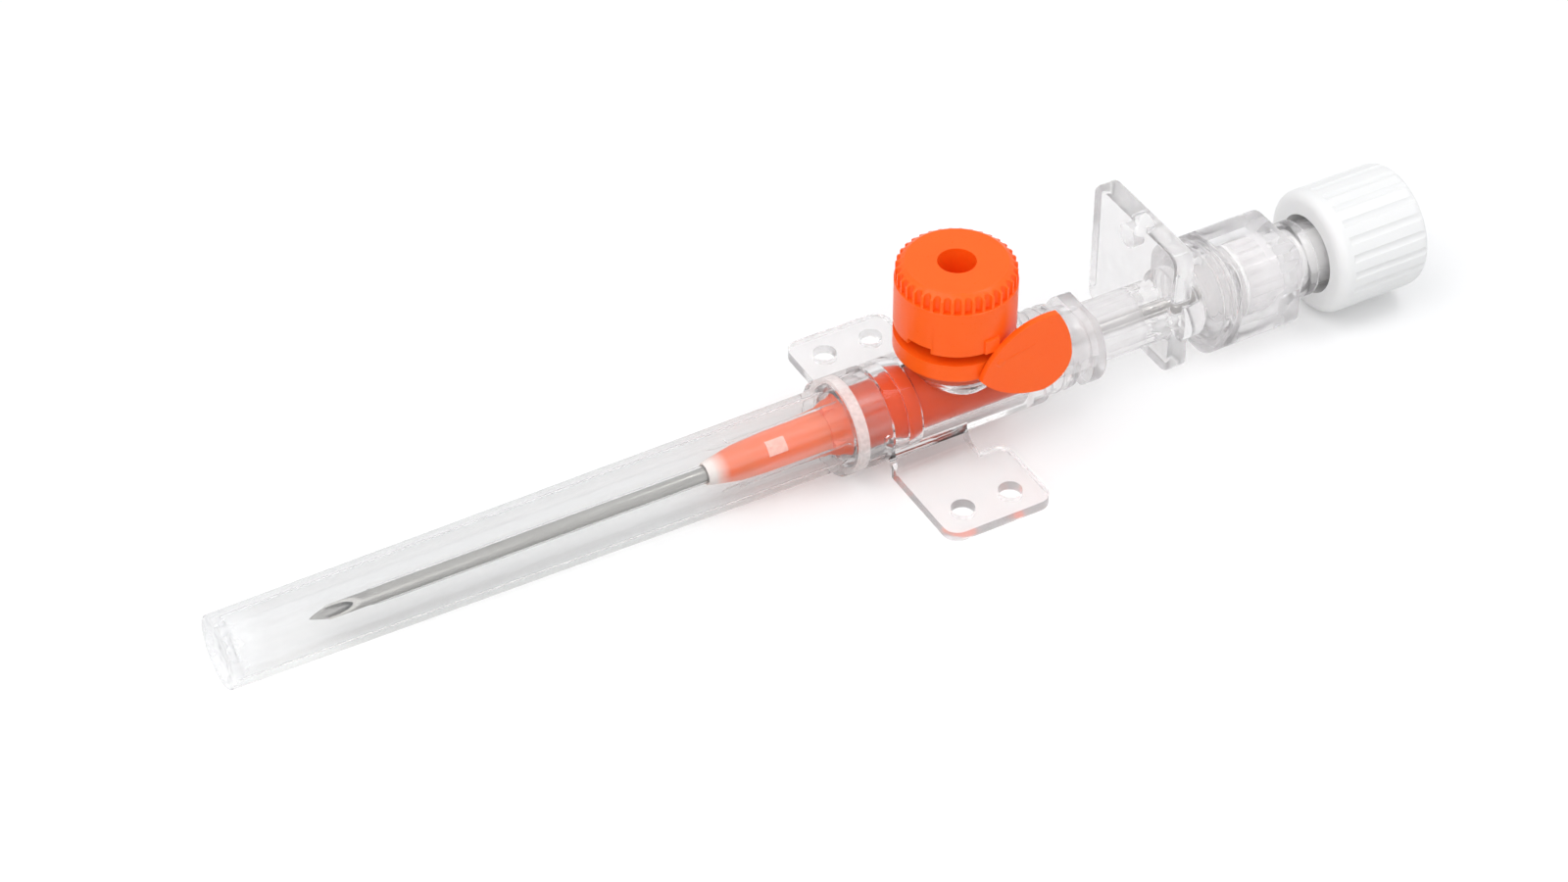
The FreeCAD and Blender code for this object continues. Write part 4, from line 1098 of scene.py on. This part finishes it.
@dataclass
class Studio:
    """Table, lights and camera."""

    rest_rear_x: float = 24.0
    rest_rear_z: float = -2.1
    rest_tip_x: float = -62.5
    rest_tip_z: float = 0.32
    table_drop: float = 0.02
    table_radius: float = 900.0
    camera_place: tuple[float, float, float] = (-130.85, -210.90, 212.49)
    camera_azimuth: float = -29.29
    camera_elevation: float = 40.79
    lens: float = 90.0
    card: float = 0.7
    key_power: float = 0.85
    key_way: tuple[float, float, float] = (-0.45, -0.35, 1.0)
    fill_share: float = 0.45
    fill_way: tuple[float, float, float] = (0.2, -0.9, 0.6)
    strip_way: tuple[float, float, float] = (0.43, 0.06, 0.9)
    key_size: float = 0.34
    key_distance: float = 0.5
    room: float = 0.78
    room_colour: Colour = (0.97, 0.98, 1.0)
    horizon: tuple[float, float] = (-0.05, 0.45)
    horizon_light: tuple[float, float] = (0.7, 1.0)
    strip_power: float = 0.4
    strip_size: float = 0.16
    seen_lift: float = 0.22
    bent_lift: float = 0.14

    def table(self) -> None:
        """Pale table top that touches the grip plate and the cover's tip."""
        slope = math.atan2(self.rest_rear_z - self.rest_tip_z, self.rest_rear_x - self.rest_tip_x)
        mesh = bmesh.new()
        bmesh.ops.create_circle(mesh, cap_ends=True, segments=64, radius=self.table_radius)
        bmesh.ops.rotate(mesh, cent=(0, 0, 0), matrix=Matrix.Rotation(-slope, 3, "Y"), verts=mesh.verts)
        height = self.rest_rear_z - self.rest_rear_x * math.tan(slope) - self.table_drop
        bmesh.ops.translate(mesh, vec=(0, 0, height), verts=mesh.verts)
        bmesh.ops.scale(mesh, vec=(MM, MM, MM), verts=mesh.verts)
        data = bpy.data.meshes.new("table_top")
        mesh.to_mesh(data)
        mesh.free()
        top = bpy.data.objects.new("table_top", data)
        bpy.context.scene.collection.objects.link(top)
        data.materials.append(self.table_finish())

    def table_finish(self) -> bpy.types.Material:
        """Matt card that the camera sees white, and clear plastic a little less so."""
        shading = Shading("pale_table")
        card = shading.add("ShaderNodeBsdfDiffuse", {"Color": (self.card, self.card, self.card, 1.0)})
        path = shading.add("ShaderNodeLightPath")
        either = shading.add(
            "ShaderNodeMath",
            {0: path.outputs["Is Glossy Ray"], 1: path.outputs["Is Transmission Ray"]},
            operation="MAXIMUM",
        )
        bent = shading.times(either.outputs[0], self.bent_lift)
        seen = shading.times(path.outputs["Is Camera Ray"], self.seen_lift)
        share = shading.add("ShaderNodeMath", {0: bent, 1: seen}, operation="MAXIMUM")
        lift = shading.add("ShaderNodeEmission", {"Strength": share.outputs[0]})
        both = shading.add("ShaderNodeAddShader", {0: card.outputs[0], 1: lift.outputs[0]})
        return shading.done(both.outputs[0])

    def surroundings(self) -> None:
        """Soft even studio around the table, white to the eye."""
        world = bpy.data.worlds.new("studio")
        bpy.context.scene.world = world
        world.use_nodes = True
        tree = world.node_tree
        tree.nodes.clear()
        path = tree.nodes.new("ShaderNodeLightPath")
        room = tree.nodes.new("ShaderNodeBackground")
        room.inputs["Color"].default_value = (*self.room_colour, 1.0)
        room.inputs["Strength"].default_value = self.room
        white = tree.nodes.new("ShaderNodeBackground")
        white.inputs["Strength"].default_value = 1.0
        walls = tree.nodes.new("ShaderNodeTexCoord")
        split = tree.nodes.new("ShaderNodeSeparateXYZ")
        tree.links.new(walls.outputs["Generated"], split.inputs[0])
        ramp = tree.nodes.new("ShaderNodeMapRange")
        ramp.inputs["From Min"].default_value = self.horizon[0]
        ramp.inputs["From Max"].default_value = self.horizon[1]
        ramp.inputs["To Min"].default_value = self.horizon_light[0]
        ramp.inputs["To Max"].default_value = self.horizon_light[1]
        tree.links.new(split.outputs["Z"], ramp.inputs["Value"])
        plain = tree.nodes.new("ShaderNodeBackground")
        tree.links.new(ramp.outputs[0], plain.inputs["Strength"])
        bent = tree.nodes.new("ShaderNodeMath")
        bent.operation = "MAXIMUM"
        tree.links.new(path.outputs["Is Glossy Ray"], bent.inputs[0])
        tree.links.new(path.outputs["Is Transmission Ray"], bent.inputs[1])
        first = tree.nodes.new("ShaderNodeMixShader")
        tree.links.new(bent.outputs[0], first.inputs[0])
        tree.links.new(room.outputs[0], first.inputs[1])
        tree.links.new(plain.outputs[0], first.inputs[2])
        second = tree.nodes.new("ShaderNodeMixShader")
        tree.links.new(path.outputs["Is Camera Ray"], second.inputs[0])
        tree.links.new(first.outputs[0], second.inputs[1])
        tree.links.new(white.outputs[0], second.inputs[2])
        output = tree.nodes.new("ShaderNodeOutputWorld")
        tree.links.new(second.outputs[0], output.inputs["Surface"])

    def lamp(self, name: str, way: Vector, power: float, size: float) -> None:
        """A square soft lamp that looks at the port.

        Args:
            name: The lamp's name.
            way: Direction from the port to the lamp.
            power: Watts.
            size: Side of the lamp in metres.
        """
        data = bpy.data.lights.new(name, "AREA")
        data.energy = power
        data.size = size
        light = bpy.data.objects.new(name, data)
        aim = way.normalized()
        light.location = aim * self.key_distance
        light.rotation_mode = "QUATERNION"
        light.rotation_quaternion = aim.to_track_quat("Z", "Y")
        bpy.context.scene.collection.objects.link(light)

    def lights(self) -> None:
        """Large key above on the left, a weaker fill in front, and a small lamp that the needle mirrors."""
        turn = math.radians(self.camera_azimuth)
        right = Vector((math.cos(turn), math.sin(turn), 0))
        away = Vector((-right.y, right.x, 0))
        lamps = (
            ("key", self.key_way, self.key_power, self.key_size),
            ("fill", self.fill_way, self.key_power * self.fill_share, self.key_size),
            ("strip", self.strip_way, self.strip_power, self.strip_size),
        )
        for name, way, power, size in lamps:
            self.lamp(name, way[0] * right + way[1] * away + Vector((0, 0, way[2])), power, size)

    def camera(self) -> None:
        """Camera at the photograph's angle."""
        data = bpy.data.cameras.new("camera")
        data.lens = self.lens
        data.clip_start = 0.01
        data.clip_end = 10.0
        eye = bpy.data.objects.new("camera", data)
        turn = math.radians(self.camera_azimuth)
        rise = math.radians(self.camera_elevation)
        back = Vector((math.sin(turn) * math.cos(rise), -math.cos(turn) * math.cos(rise), math.sin(rise)))
        right = Vector((math.cos(turn), math.sin(turn), 0.0))
        up = back.cross(right)
        axes = Matrix((right, up, back)).transposed()
        eye.matrix_world = Matrix.Translation(Vector(self.camera_place) * MM) @ axes.to_4x4()
        bpy.context.scene.collection.objects.link(eye)
        bpy.context.scene.camera = eye

    def build(self) -> None:
        """Set up the whole studio."""
        self.table()
        self.surroundings()
        self.lights()
        self.camera()
        bpy.context.scene.view_settings.view_transform = "Standard"


def make_finishes() -> dict[Stock, bpy.types.Material]:
    """Make one finish for each slot of the record."""
    kinds: dict[Stock, Any] = {
        Stock.COVER: FrostedSleeve(),
        Stock.CATHETER: ThinTube(),
        Stock.FERRULE: DrawnMetal("ferrule_metal_finish", (0.8, 0.79, 0.77), 0.3),
        Stock.STEEL: DrawnMetal("needle_steel_finish", (0.46, 0.45, 0.43), 0.14),
        Stock.CORE: GlowingCore(),
        Stock.VALVE: Silicone("valve_rubber"),
        Stock.CLEAR: ClearMoulding(),
        Stock.CAP: SoftPlastic(
            "orange_moulding", (1.0, 0.13, 0.008), (1.0, 0.11, 0.005), 0.32, sink=0.1, shine=0.25
        ),
        Stock.VENT: ClearMoulding("vent_moulding", (0.93, 0.93, 0.93), 0.1, 1.3, 0.6),
        Stock.MEMBRANE: Silicone("membrane_felt", (0.9, 0.9, 0.9)),
        Stock.WHITE: SoftPlastic(
            "white_moulding", (0.82, 0.82, 0.815), (0.79, 0.79, 0.785), depth=(1.0, 1.0, 0.9)
        ),
    }
    return {stock: kind.make() for stock, kind in kinds.items()}


def main() -> None:
    """Build the sub-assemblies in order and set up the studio."""
    logging.basicConfig(level=logging.INFO, format="%(message)s")
    finishes = make_finishes()
    moulder = Moulder()
    for kind in (NeedleCover, Catheter, Hub, InjectionPort, Stylet, ClosingCap):
        kind(moulder, finishes).build()
    log.info("%d pieces made", len(moulder.made))
    Studio().build()


if __name__ == "__main__":
    main()
